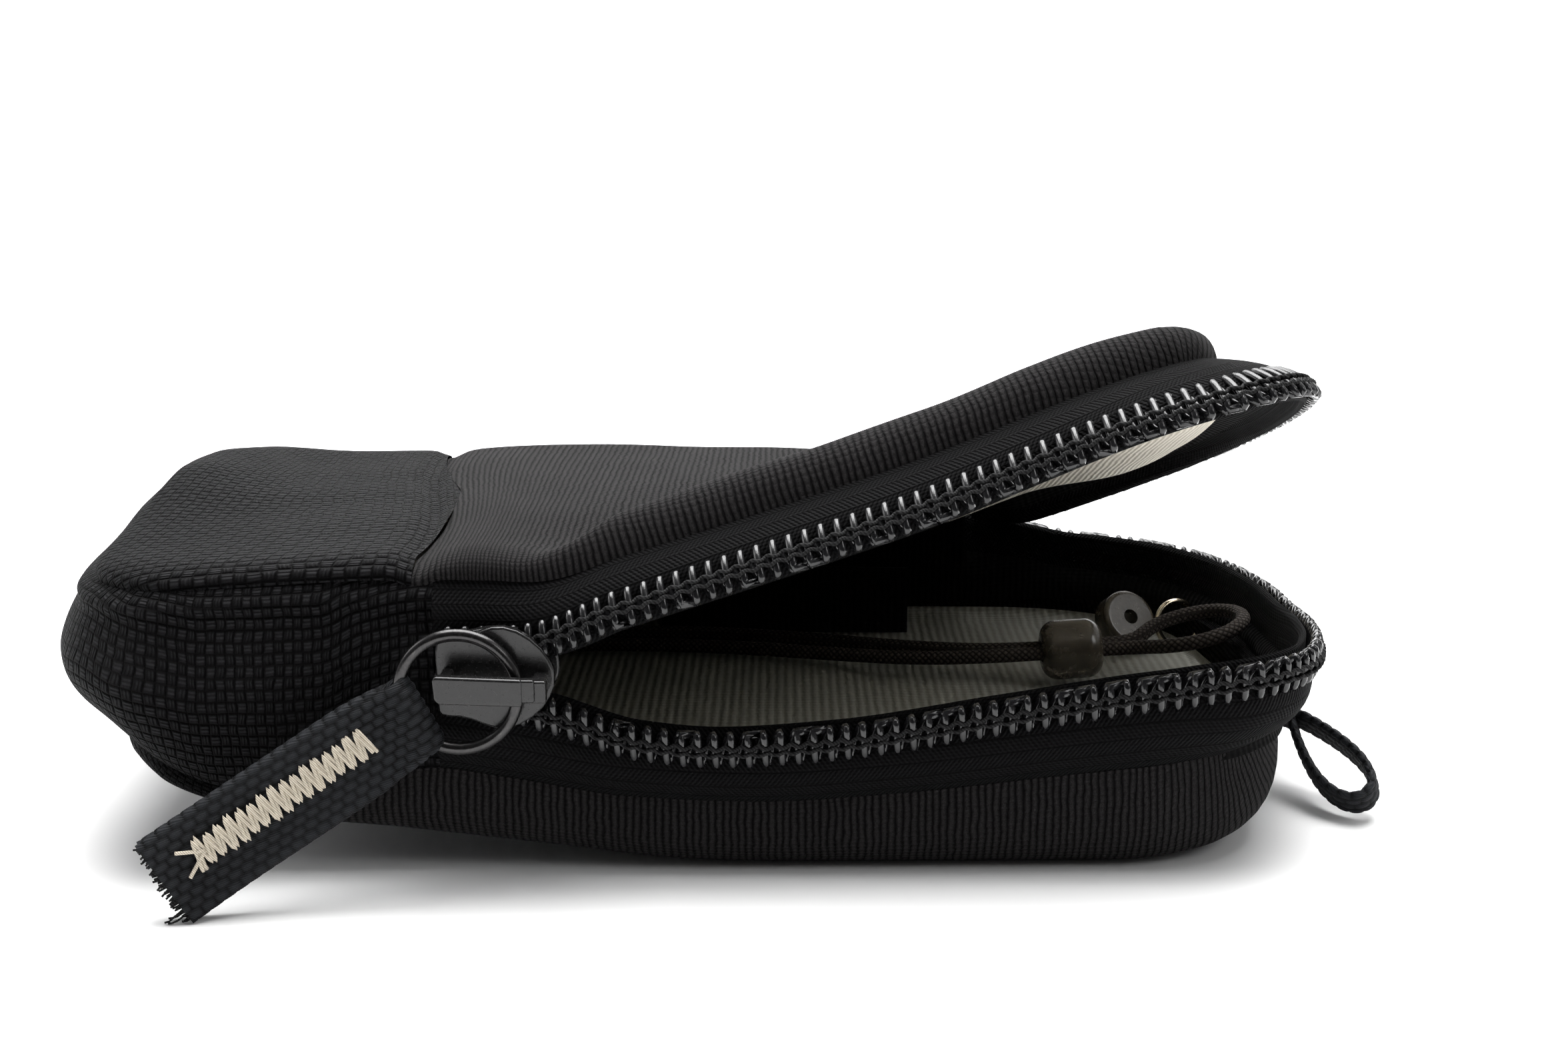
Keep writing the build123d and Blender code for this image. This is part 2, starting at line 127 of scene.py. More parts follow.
top_seam_insets = [
    (-80.5, 0, 0.8), (-40, -45, 0.8), (-24, -45, 1.2), (0, -45, 3.6), (40, -45, 4.6), (66, -42.5, 9.2),
    (78.7, 5, 9.0), (60, 41, 5.0), (40, 45, 4.0), (20, 45, 1.5), (-60, 45, 0.8),
]
low_seam_tucks = [
    (-81, 0, 4.5), (-74, -41, 3.6), (-60, -45, 2.0), (-45, -45, 0.9), (52, -45, 0.9), (66, -43, 2.6),
    (78.7, 5, 4.0), (60, 41, 1.5), (-60, 45, 2.0),
]
gusset_bulges = [
    (-80.5, 0, 6.4), (-72, -43, 3.8), (-50, -45, 1.8), (-32, -45, 0.8), (30, 45, 0.8), (-60, 45, 2.0),
]
underside_heights = [
    (-90, 17), (-80, 14.0), (-74, 11.5), (-60, 7.6), (-40, 4.6), (-20, 2.2), (-2, 0.2), (8, 0),
    (48, 0), (60, 0.9), (70, 2.8), (80, 6.0), (90, 8.0),
]

# The fold that the lid is peeled on
lid_joint = next(joint for joint in frame["joints"] if joint["name"] == "lid_fold")
fold_point = np.array(lid_joint["pos_m"]) / MM
fold_axis = np.array(lid_joint["axis"])
lid_open = 22.8
peel_start = np.array([-28.2, -half_width, 0.0])
peel_back = np.array([32.5, half_width, 0.0])
peel_span = 12.0

# How far the cross seam runs from its CAD line in front and behind, and how wide the cloth follows
seam_front = 9.5
seam_back = -1.0
seam_spread = 16.0

peel_way = unit(np.array([peel_back[1] - peel_start[1], peel_start[0] - peel_back[0], 0.0]))

# ---------------------------------------------------------------- camera, light, floor


camera_lens = 42.55
camera_place = (8.0, -259.0, 92.0)
camera_down = 12.5


def add_camera():
    """A camera in front of the pouch, low over the floor, looking a little down."""
    data = bpy.data.cameras.new("camera")
    data.lens = camera_lens
    data.sensor_width = 36.0
    data.clip_start = 0.01
    camera = bpy.data.objects.new("camera", data)
    camera.location = [value * MM for value in camera_place]
    camera.rotation_euler = (math.radians(90 - camera_down), 0, 0)
    bpy.context.collection.objects.link(camera)
    bpy.context.scene.camera = camera


def add_area(name, place, aim, size, power):
    """A soft square light that looks at a point, all in metres."""
    data = bpy.data.lights.new(name, "AREA")
    data.size = size
    data.energy = power
    light = bpy.data.objects.new(name, data)
    light.location = place
    light.rotation_euler = (Vector(aim) - Vector(place)).to_track_quat("-Z", "Y").to_euler()
    bpy.context.collection.objects.link(light)


def add_light():
    """A white studio: a soft box over and behind, a lit backdrop, and a room that is dim in front."""
    add_area("top_light", (0.0, 0.22, 0.80), (0, 0, 0), 0.9, 17.0)
    add_area("left_light", (-0.80, 0.05, 0.45), (0, 0, 0.02), 0.4, 1.2)
    add_area("right_light", (0.60, -0.35, 0.55), (0, 0, 0.02), 0.3, 1.0)
    add_area("backdrop_light", (0.0, 0.25, 1.1), (0, 1.2, 0.25), 0.9, 14.0)
    world = bpy.data.worlds.new("white_room")
    bpy.context.scene.world = world
    world.use_nodes = True
    tree = world.node_tree
    background = tree.nodes["Background"]
    direction = tree.nodes.new("ShaderNodeTexCoord")
    split = tree.nodes.new("ShaderNodeSeparateXYZ")
    tree.links.new(direction.outputs["Generated"], split.inputs[0])
    ramp = tree.nodes.new("ShaderNodeMapRange")
    ramp.interpolation_type = "SMOOTHSTEP"
    for socket, value in (("From Min", -0.9), ("From Max", 0.7), ("To Min", 0.03), ("To Max", 0.90)):
        ramp.inputs[socket].default_value = value
    tree.links.new(split.outputs["Y"], ramp.inputs["Value"])
    tree.links.new(ramp.outputs["Result"], background.inputs["Strength"])
    background.inputs["Color"].default_value = (1.0, 1.0, 1.0, 1.0)
    bpy.context.scene.view_settings.view_transform = "Standard"


# ---------------------------------------------------------------- materials


class Shader:
    """A material's node tree with short calls for the maths that draws weaves."""

    def __init__(self, name, roughness=0.8, sheen=0.0, metallic=0.0, coat=0.0, specular=0.12):
        self.material = bpy.data.materials.new(name)
        self.material.use_nodes = True
        self.tree = self.material.node_tree
        self.surface = self.tree.nodes["Principled BSDF"]
        self.set("Roughness", roughness)
        self.set("Metallic", metallic)
        self.set("Sheen Weight", sheen)
        self.set("Sheen Roughness", 0.35)
        self.set("Specular IOR Level", specular)
        self.set("Coat Weight", coat)
        self.set("Coat Roughness", 0.08)

    def set(self, socket, value):
        """Gives a socket of the surface a value or a link."""
        self.feed(self.surface.inputs[socket], value)

    def feed(self, socket, value):
        """Puts a number, a colour or another node's output into a socket."""
        if isinstance(value, bpy.types.NodeSocket):
            self.tree.links.new(value, socket)
        elif isinstance(value, tuple) and len(value) == 3 and socket.type == "RGBA":
            socket.default_value = (*value, 1.0)
        else:
            socket.default_value = value

    def node(self, kind, **inputs):
        """A new node with its inputs filled by name."""
        made = self.tree.nodes.new(kind)
        for key, value in inputs.items():
            self.feed(made.inputs[key.replace("_", " ")], value)
        return made

    def math(self, operation, first, second=0.0, third=0.0):
        """One step of arithmetic."""
        made = self.tree.nodes.new("ShaderNodeMath")
        made.operation = operation
        for socket, value in zip(made.inputs, (first, second, third)):
            self.feed(socket, value)
        return made.outputs[0]

    def times(self, first, second):
        """One value times another."""
        return self.math("MULTIPLY", first, second)

    def plus(self, first, second):
        """The sum of two values."""
        return self.math("ADD", first, second)

    def place(self, attribute):
        """X, Y and Z in millimetres, from the cloth attribute or the object's own space."""
        if attribute:
            source = self.tree.nodes.new("ShaderNodeAttribute")
            source.attribute_name = "cloth"
            vector = source.outputs["Vector"]
        else:
            source = self.tree.nodes.new("ShaderNodeTexCoord")
            scale = self.node("ShaderNodeVectorMath")
            scale.operation = "SCALE"
            self.feed(scale.inputs[0], source.outputs["Object"])
            scale.inputs["Scale"].default_value = 1 / MM
            vector = scale.outputs[0]
        split = self.node("ShaderNodeSeparateXYZ", Vector=vector)
        return vector, split.outputs[0], split.outputs[1], split.outputs[2]

    def noise(self, vector, scale, detail=3.0):
        """Grey noise from 0 to 1, with scale in features per millimetre."""
        made = self.node("ShaderNodeTexNoise", Vector=vector, Scale=scale, Detail=detail)
        made.inputs["Roughness"].default_value = 0.6
        return made.outputs["Fac"]

    def wave(self, value, period):
        """A smooth wave from 0 to 1 with that period."""
        turn = self.times(value, 2 * math.pi / period)
        return self.math("MULTIPLY_ADD", self.math("SINE", turn), 0.5, 0.5)

    def cell(self, value, size):
        """The whole number of a cell and the place in it, from -1 to 1."""
        scaled = self.math("DIVIDE", value, size)
        index = self.math("FLOOR", scaled)
        within = self.math("SUBTRACT", scaled, index)
        return index, self.math("MULTIPLY_ADD", within, 2.0, -1.0)

    def dome(self, value, power=2.0):
        """1 at the middle of a cell and 0 at its edges."""
        return self.math("SUBTRACT", 1.0, self.math("POWER", self.math("ABSOLUTE", value), power))

    def mix(self, share, first, second):
        """A colour between two."""
        made = self.tree.nodes.new("ShaderNodeMix")
        made.data_type = "RGBA"
        self.feed(made.inputs[0], share)
        self.feed(made.inputs[6], first)
        self.feed(made.inputs[7], second)
        return made.outputs[2]

    def bump(self, height, depth):
        """Sets the surface's relief, with depth in millimetres."""
        made = self.node("ShaderNodeBump", Height=height, Strength=1.0, Distance=depth * MM)
        self.set("Normal", made.outputs["Normal"])

    def range(self, value, low, high):
        """Stretches 0 to 1 into low to high."""
        return self.math("MULTIPLY_ADD", value, high - low, low)


def knit_material():
    """Fine ribbed knit: ribs across the long edge, with stitches along each rib and a soft fuzz."""
    shader = Shader("knit_cloth", roughness=0.9, sheen=0.02, specular=0.08)
    vector, x, y, _ = shader.place(True)
    wander = shader.times(shader.noise(vector, 0.35), 0.8)
    across = shader.plus(x, wander)
    _, rib_place = shader.cell(across, 0.92)
    rib = shader.dome(rib_place, 2.6)
    _, stitch_place = shader.cell(shader.plus(y, shader.times(rib, 0.20)), 0.62)
    stitch = shader.dome(stitch_place, 2.0)
    fuzz = shader.noise(vector, 6.0, 4.0)
    height = shader.plus(rib, shader.times(stitch, 0.22))
    height = shader.plus(height, shader.times(fuzz, 0.40))
    patch = shader.noise(vector, 0.06, 2.0)
    lit = shader.times(shader.math("POWER", rib, 2.2), shader.range(fuzz, 0.0, 1.1))
    lit = shader.times(lit, shader.range(patch, 0.8, 1.15))
    shader.set("Base Color", shader.mix(lit, (0.0006, 0.0006, 0.0007), (0.036, 0.034, 0.0345)))
    shader.bump(height, 0.42)
    return shader.material


def nylon_material():
    """Coarse plain weave of flat filament yarns: squares of level strands next to upright ones."""
    shader = Shader("nylon_cloth", roughness=0.75, specular=0.06)
    vector, x, y, _ = shader.place(True)
    wander = shader.noise(vector, 0.20, 2.0)
    x = shader.plus(x, shader.times(wander, 1.2))
    y = shader.plus(y, shader.times(wander, 0.7))
    column, x_place = shader.cell(x, 1.15)
    row, y_place = shader.cell(y, 1.45)
    odd = shader.math("MODULO", shader.math("ABSOLUTE", shader.plus(column, row)), 2.0)
    level_strands = shader.wave(y, 0.483)
    upright_strands = shader.wave(x, 0.383)
    weft = shader.times(shader.dome(y_place, 4.0), shader.dome(x_place, 6.0))
    weft = shader.times(weft, shader.range(level_strands, 0.72, 1.0))
    warp = shader.times(shader.dome(x_place, 4.0), shader.dome(y_place, 3.0))
    tilt = shader.range(y_place, 0.86, 1.12)
    warp = shader.times(shader.times(warp, tilt), shader.range(upright_strands, 0.68, 1.0))
    over = shader.times(odd, weft)
    under = shader.times(shader.math("SUBTRACT", 1.0, odd), warp)
    height = shader.plus(over, under)
    grain = shader.noise(vector, 5.0, 3.0)
    speck = shader.noise(vector, 0.9, 2.0)
    # The colour follows the weave's height: darker in the hollows between yarns as painted shade, lighter
    # on the crowns as painted highlight; grain and speck are random tone.
    tone = shader.times(shader.math("POWER", height, 2.4), shader.range(grain, 0.25, 1.1))
    tone = shader.times(tone, shader.range(speck, 0.55, 1.25))
    shader.set("Base Color", shader.mix(tone, (0.0004, 0.0004, 0.0005), (0.0300, 0.0300, 0.0320)))
    shader.set("Roughness", shader.range(grain, 0.6, 0.85))
    shader.bump(shader.plus(height, shader.times(grain, 0.12)), 0.75)
    return shader.material


def webbing_material():
    """Webbing yarns: the floats are real relief, and fine filaments run along each."""
    shader = Shader("webbing_cloth", roughness=0.65, specular=0.12)
    vector, along, across, relief = shader.place(True)
    filaments = shader.wave(shader.plus(across, shader.times(along, 0.25)), 0.23)
    grain = shader.noise(vector, 4.0, 4.0)
    # The colour follows the floats' relief and the filaments, darker in the low places between them:
    # painted shade; grain is random tone.
    tone = shader.times(relief, shader.range(grain, 0.35, 1.0))
    tone = shader.times(tone, shader.range(filaments, 0.7, 1.0))
    shader.set("Base Color", shader.mix(tone, (0.0012, 0.0012, 0.0014), (0.030, 0.032, 0.036)))
    shader.bump(shader.plus(filaments, grain), 0.06)
    return shader.material


def tape_material():
    """Zip tape: a herringbone of fine slanting twill lines that turn at each stripe."""
    shader = Shader("zip_tape_cloth", roughness=0.85, specular=0.08)
    vector, x, y, _ = shader.place(True)
    stripe, stripe_place = shader.cell(y, 1.9)
    odd = shader.math("MODULO", shader.math("ABSOLUTE", stripe), 2.0)
    side = shader.math("MULTIPLY_ADD", odd, 2.0, -1.0)
    slant = shader.plus(x, shader.times(shader.times(side, y), 0.75))
    line = shader.wave(slant, 0.62)
    thread = shader.wave(y, 0.42)
    edge = shader.dome(stripe_place, 8.0)
    height = shader.times(shader.plus(line, shader.times(thread, 0.35)), edge)
    grain = shader.noise(vector, 6.0, 3.0)
    # The colour follows the twill's relief, darker in its grooves and at the stripes' edges: painted shade;
    # grain is random tone.
    tone = shader.times(height, shader.range(grain, 0.2, 0.8))
    shader.set("Base Color", shader.mix(tone, (0.0005, 0.0005, 0.0006), (0.010, 0.010, 0.0105)))
    shader.bump(shader.plus(height, shader.times(grain, 0.3)), 0.20)
    return shader.material


def lining_material(name, dark, light, rib=1.1):
    """Brushed lining with shallow ribs."""
    shader = Shader(name, roughness=0.95, sheen=0.005)
    vector, x, y, _ = shader.place(True)
    ribs = shader.wave(shader.plus(x, shader.times(shader.noise(vector, 0.4), 0.5)), rib)
    cross = shader.wave(y, 0.7)
    nap = shader.noise(vector, 3.5, 5.0)
    height = shader.plus(ribs, shader.times(shader.plus(cross, nap), 0.4))
    # The colour is darker in the valleys between ribs: painted shade; the nap is random tone.
    tone = shader.times(shader.plus(ribs, nap), 0.5)
    shader.set("Base Color", shader.mix(tone, dark, light))
    shader.bump(height, 0.13)
    return shader.material


def thread_material(name, dark, light, twist=0.5):
    """Twisted sewing thread or braid, from the object's own space."""
    shader = Shader(name, roughness=0.75)
    vector, x, y, z = shader.place(False)
    slant = shader.plus(shader.plus(x, z), shader.times(y, 0.6))
    strands = shader.wave(slant, twist)
    grain = shader.noise(vector, 5.0, 3.0)
    # The colour is darker between the twisted strands: painted shade; grain is random tone.
    tone = shader.times(strands, shader.range(grain, 0.3, 1.0))
    shader.set("Base Color", shader.mix(tone, dark, light))
    shader.bump(shader.plus(strands, grain), 0.05)
    return shader.material


def braid_material():
    """Round braided cord: two sets of yarns that cross, from the cord's own length and turn."""
    shader = Shader("cord_braid_cloth", roughness=0.8)
    vector, along, turn, _ = shader.place(True)
    right, right_place = shader.cell(shader.plus(along, turn), 0.95)
    left, left_place = shader.cell(shader.math("SUBTRACT", along, turn), 0.95)
    odd = shader.math("MODULO", shader.math("ABSOLUTE", shader.plus(right, left)), 2.0)
    bumps = shader.times(shader.dome(right_place), shader.dome(left_place))
    grain = shader.noise(vector, 6.0, 3.0)
    # The colour is darker towards the edges of each yarn crossing: painted shade; grain is random tone, and
    # every other crossing is darker.
    tone = shader.times(bumps, shader.range(grain, 0.4, 1.0))
    tone = shader.times(tone, shader.range(odd, 0.7, 1.0))
    shader.set("Base Color", shader.mix(tone, (0.018, 0.015, 0.013), (0.13, 0.112, 0.10)))
    shader.bump(shader.plus(bumps, shader.times(grain, 0.15)), 0.18)
    return shader.material


def coil_material():
    """Glossy black monofilament with faint mould grain and dust."""
    shader = Shader("coil_nylon_gloss", roughness=0.16, coat=0.1, specular=0.5)
    vector, _, _, _ = shader.place(False)
    grain = shader.noise(vector, 1.6, 4.0)
    shader.set("Base Color", shader.mix(grain, (0.004, 0.004, 0.0045), (0.012, 0.012, 0.013)))
    shader.set("Roughness", shader.range(grain, 0.08, 0.30))
    shader.bump(shader.noise(vector, 4.0, 2.0), 0.015)
    return shader.material


def metal_material(name, dark, light, roughness, metallic):
    """Plated or lacquered metal with a fine grain and worn high spots."""
    shader = Shader(name, roughness=roughness, metallic=metallic, coat=0.05, specular=0.5)
    vector, _, _, _ = shader.place(False)
    grain = shader.noise(vector, 2.5, 5.0)
    geometry = shader.tree.nodes.new("ShaderNodeNewGeometry")
    worn = shader.times(shader.math("SUBTRACT", geometry.outputs["Pointiness"], 0.5), 6.0)
    worn = shader.math("MINIMUM", shader.math("MAXIMUM", worn, 0.0), 1.0)
    tone = shader.math("MAXIMUM", shader.times(grain, 0.5), shader.times(worn, grain))
    shader.set("Base Color", shader.mix(tone, dark, light))
    shader.set("Roughness", shader.range(grain, roughness - 0.08, roughness + 0.14))
    shader.bump(grain, 0.012)
    return shader.material


def bead_material():
    """Smoked translucent plastic with cloudy streaks."""
    shader = Shader("smoked_bead", roughness=0.22, coat=0.1, specular=0.5)
    vector, _, _, _ = shader.place(False)
    cloud = shader.noise(vector, 0.35, 4.0)
    shader.set("Base Color", shader.mix(cloud, (0.045, 0.038, 0.028), (0.16, 0.135, 0.10)))
    shader.set("Transmission Weight", 0.35)
    shader.set("IOR", 1.49)
    shader.set("Roughness", shader.range(cloud, 0.14, 0.36))
    shader.bump(shader.noise(vector, 1.5, 3.0), 0.02)
    return shader.material


def floor_material():
    """Matte white paper."""
    shader = Shader("white_paper", roughness=0.9)
    vector, _, _, _ = shader.place(False)
    shader.set("Base Color", shader.mix(shader.noise(vector, 0.02), (0.86, 0.86, 0.86), (0.90, 0.90, 0.90)))
    return shader.material


def make_materials():
    """Every material, by a short name."""
    return {
        "knit": knit_material(),
        "nylon": nylon_material(),
        "webbing": webbing_material(),
        "tape": tape_material(),
        "coil": coil_material(),
        "black_thread": thread_material("black_thread", (0.006, 0.006, 0.006), (0.035, 0.035, 0.036)),
        "ivory_thread": thread_material("ivory_thread", (0.42, 0.36, 0.28), (0.86, 0.80, 0.69), 0.32),
        "black_lining": lining_material("black_lining_cloth", (0.002, 0.002, 0.002), (0.007, 0.007, 0.007)),
        # The floor lining is the same cloth as the cream lining; its darker grey colours are painted shade.
        "grey_lining": lining_material("lining_in_painted_shade_cloth", (0.22, 0.22, 0.195), (0.36, 0.355, 0.32), 1.3),
        "cream_lining": lining_material("cream_lining_cloth", (0.50, 0.46, 0.38), (0.74, 0.70, 0.61), 0.9),
        "braid": braid_material(),
        "bead": bead_material(),
        "black_metal": metal_material(
            "black_lacquer", (0.005, 0.005, 0.0055), (0.030, 0.029, 0.028), 0.22, 0.25
        ),
        "ring_metal": metal_material("black_nickel", (0.016, 0.016, 0.018), (0.13, 0.125, 0.12), 0.20, 0.9),
        "bright_metal": metal_material("pale_plating", (0.55, 0.46, 0.32), (0.86, 0.80, 0.66), 0.20, 1.0),
        "floor": floor_material(),
    }


materials = make_materials()

# ---------------------------------------------------------------- the plan outline and the rest shape


def make_outline():
    """A smooth closed curve through the outline's points: length along it, place, outward normal."""
    points = np.array(outline_points, float)
    places = []
    shares = np.linspace(0, 1, 40, endpoint=False)[:, None]
    for index in range(len(points)):
        before, start, end, after = (points[(index + step) % len(points)] for step in (-1, 0, 1, 2))
        size = np.linalg.norm(end - start)
        lead_in = (end - before) / (np.linalg.norm(start - before) + size) * size
        lead_out = (after - start) / (np.linalg.norm(after - end) + size) * size
        cubic = (2 * shares**3 - 3 * shares**2 + 1) * start + (3 * shares**2 - 2 * shares**3) * end
        cubic += (shares**3 - 2 * shares**2 + shares) * lead_in + (shares**3 - shares**2) * lead_out
        places.append(cubic)
    places = np.concatenate(places + [points[:1]])
    lengths = run_along(places)
    even = np.linspace(0, lengths[-1], int(lengths[-1] / 0.25))
    places = np.stack([np.interp(even, lengths, places[:, i]) for i in (0, 1)], -1)
    ahead = np.roll(places[:-1], -4, axis=0) - np.roll(places[:-1], 4, axis=0)
    ahead = np.concatenate([ahead, ahead[:1]])
    return even, places, unit(np.stack([ahead[:, 1], -ahead[:, 0]], -1))


outline_lengths, outline_places, outline_normals = make_outline()
outline_total = outline_lengths[-1]


def at_outline(lengths):
    """Place and normal at lengths along the outline."""
    wrapped = np.mod(lengths, outline_total)
    place = [np.interp(wrapped, outline_lengths, outline_places[:, i]) for i in (0, 1)]
    normal = [np.interp(wrapped, outline_lengths, outline_normals[:, i]) for i in (0, 1)]
    size = np.hypot(*normal)
    return place[0], place[1], normal[0] / size, normal[1] / size


def outline_length(x, y):
    """Length along the outline of the place on it nearest to x and y."""
    gap = np.hypot(outline_places[:, 0] - x, outline_places[:, 1] - y)
    return float(outline_lengths[gap.argmin()])


def smooth(value):
    """0 to 1 with soft ends."""
    value = np.clip(value, 0, 1)
    return value * value * (3 - 2 * value)


def through(places, knots, values):
    """A smooth curve through knots that doesn't overshoot."""
    knots, values = np.asarray(knots, float), np.asarray(values, float)
    steps = np.diff(knots)
    slopes = np.diff(values) / steps
    lean = np.zeros(len(knots))
    turning = slopes[1:] * slopes[:-1] <= 0
    weights = np.where(turning, 1.0, slopes[1:] + slopes[:-1])
    lean[1:-1] = np.where(turning, 0.0, 2 * slopes[1:] * slopes[:-1] / weights)
    index = np.clip(np.searchsorted(knots, places) - 1, 0, len(steps) - 1)
    share = np.clip((places - knots[index]) / steps[index], 0, 1)
    start = values[index] * (1 - share) ** 2 * (1 + 2 * share)
    end = values[index + 1] * share**2 * (3 - 2 * share)
    bend = lean[index] * (1 - share) - lean[index + 1] * share
    return start + end + steps[index] * share * (1 - share) * bend


def round_outline(table):
    """A smooth function of length along the outline, from a table of places and values."""
    ordered = sorted((outline_length(x, y), value) for x, y, value in table)
    knots = [length for length, _ in ordered]
    values = [value for _, value in ordered]
    knots = [knots[-2] - outline_total, knots[-1] - outline_total] + knots
    knots = knots + [knots[2] + outline_total, knots[3] + outline_total]
    values = values[-2:] + values + values[:2]
    return lambda lengths: through(np.mod(lengths, outline_total), knots, values)


lower_rim = round_outline(lower_rim_heights)
upper_rim = round_outline(upper_rim_heights)
low_seam = round_outline(low_seam_heights)
top_seam = round_outline(top_seam_heights)
top_inset = round_outline(top_seam_insets)
low_tuck = round_outline(low_seam_tucks)
gusset_bulge = round_outline(gusset_bulges)


def spread(profile):
    """A height for any place in the plan, between the outline's heights in front and behind."""
    fronts = outline_places[:, 1] < 0
    halves = []
    for half in (fronts, ~fronts):
        order = np.argsort(outline_places[half, 0])
        halves.append((outline_places[half, 0][order], profile(outline_lengths[half][order])))

    def height(x, y):
        front, back = (np.interp(x, places, heights) for places, heights in halves)
        share = np.clip(0.5 + y / (2 * half_width), 0, 1)
        return front + (back - front) * share

    return height


low_seam_over = spread(low_seam)
top_seam_over = spread(top_seam)


def seam_step(rings, lengths, seam, seam_over):
    """How far a panel's edge must rise to meet its seam, fading out towards the panel's middle."""
    edge = rings[0]
    step = seam(lengths) - seam_over(edge[:, 0], edge[:, 1])
    reach = np.linalg.norm(rings[..., :2] - edge[None, :, :2], axis=-1)
    return step[None] * np.exp(-((reach / 14.0) ** 2))


def underside(x):
    """How far the pouch's underside is off the floor."""
    return through(x, *zip(*underside_heights))


def peel_share(points):
    """0 on the fixed side of the fold and 1 on the lid."""
    return smooth((points - peel_start) @ peel_way / peel_span)


def peel(points):
    """Turns the lid side of shut points open about the fold, bending over a short stretch."""
    angle = np.radians(lid_open) * peel_share(points)
    reach = points - fold_point
    along = (reach @ fold_axis)[..., None] * fold_axis
    across = reach - along
    turned = np.cross(np.broadcast_to(fold_axis, across.shape), across)
    cosine, sine = np.cos(angle)[..., None], np.sin(angle)[..., None]
    return fold_point + along + across * cosine + turned * sine


def keep_shape(points):
    """Leaves points as they are: for pieces of the base."""
    return points


def curve_seam(rings):
    """Shifts the cloth near the cross seam so that the seam runs in the curve it has on the bag."""
    share = rings[..., 1] / half_width
    shift = seam_front + (seam_back - seam_front) * 0.5 * (1 + share) - 1.2 * np.sin(math.pi * share)
    rings[..., 0] += shift * np.exp(-(((rings[..., 0] - cross_seam) / seam_spread) ** 2))
    return rings


# ---------------------------------------------------------------- making pieces


def new_object(name, vertices, faces, material, cloth=None):
    """A smooth mesh object from points in mm."""
    mesh = bpy.data.meshes.new(name)
    mesh.from_pydata((np.asarray(vertices, float) * MM).tolist(), [], faces)
    mesh.materials.append(material)
    if cloth is not None:
        attribute = mesh.attributes.new("cloth", "FLOAT_VECTOR", "POINT")
        attribute.data.foreach_set("vector", np.asarray(cloth, np.float32).ravel())
    mesh.shade_smooth()
    made = bpy.data.objects.new(name, mesh)
    bpy.context.collection.objects.link(made)
    return made


def grid_faces(rows, columns, wrap=False, start=0):
    """Quads over a grid of points that is stored row by row."""
    faces = []
    for row in range(rows - 1):
        for column in range(columns if wrap else columns - 1):
            after = (column + 1) % columns
            here, there = start + row * columns, start + (row + 1) * columns
            faces.append((here + column, here + after, there + after, there + column))
    return faces


def grid_object(name, points, cloth, material, wrap=False):
    """A piece from a grid of points in mm."""
    rows, columns = points.shape[:2]
    faces = grid_faces(rows, columns, wrap)
    return new_object(name, points.reshape(-1, 3), faces, material, cloth.reshape(-1, 3))


weld_distance = 0.02


def merge_close(piece):
    """Welds points that lie on each other, so that shading runs across."""
    shape = bmesh.new()
    shape.from_mesh(piece.data)
    bmesh.ops.remove_doubles(shape, verts=shape.verts, dist=weld_distance * MM)
    bmesh.ops.recalc_face_normals(shape, faces=shape.faces)
    shape.to_mesh(piece.data)
    shape.free()


def ripple(points, size, depth, seed):
    """Soft uneven dents of a depth in mm, as numbers for each point."""
    flat = points.reshape(-1, 3) / size + seed
    values = np.array([noise.noise(Vector(place)) for place in flat])
    return (values * depth).reshape(points.shape[:-1])


spine_ends = (-42, 38)


def panel_grid(start, end, inset, roll, rise, crown, seed, dent=0.25, puff=0.12):
    """A puffed panel between two lengths along the outline, with its seam at height 0.

    It runs from its seam, over a rounded edge of width roll and height rise, to the spine.
    Gives places, cloth coordinates and the lengths.
    """
    count = int(end - start) + 1
    lengths = np.linspace(start, end, count)
    x, y, nx, ny = at_outline(lengths)
    first = np.broadcast_to(inset(lengths) if callable(inset) else inset, x.shape)
    angles = np.linspace(0, math.pi / 2, 11)
    steps = roll * (1 - np.cos(angles)) - puff * roll * np.sin(2 * angles)
    heights = rise * np.sin(angles) ** 0.9
    arc = np.concatenate([[0], np.cumsum(np.hypot(np.diff(steps), np.diff(heights)))])
    rings, cloth = [], []
    edge_x, edge_y = x - nx * (first + roll), y - ny * (first + roll)
    for step, height, run in zip(steps, heights, arc):
        place = [x - nx * (first + step), y - ny * (first + step), np.full(count, height)]
        reach = arc[-1] - run
        rings.append(np.stack(place, -1))
        cloth.append(np.stack([edge_x + nx * reach, edge_y + ny * reach, np.zeros(count)], -1))
    edge = rings[-1]
    spine = np.stack([np.clip(edge[:, 0], *spine_ends), np.zeros(count)], -1)
    for share in np.linspace(0, 1, 30)[1:]:
        flat = edge[:, :2] + (spine - edge[:, :2]) * share
        bulge = rise + crown * smooth(share * 1.3)
        rings.append(np.concatenate([flat, np.full((count, 1), bulge)], 1))
        cloth.append(np.concatenate([flat, np.zeros((count, 1))], 1))
    rings, cloth = np.array(rings), np.array(cloth)
    fade = np.clip(rings[..., 2] / max(rise, 0.1), 0, 1)
    rings[..., 2] += ripple(cloth, 14.0, dent, seed) * fade
    return rings, cloth, lengths


wall_step = 0.9


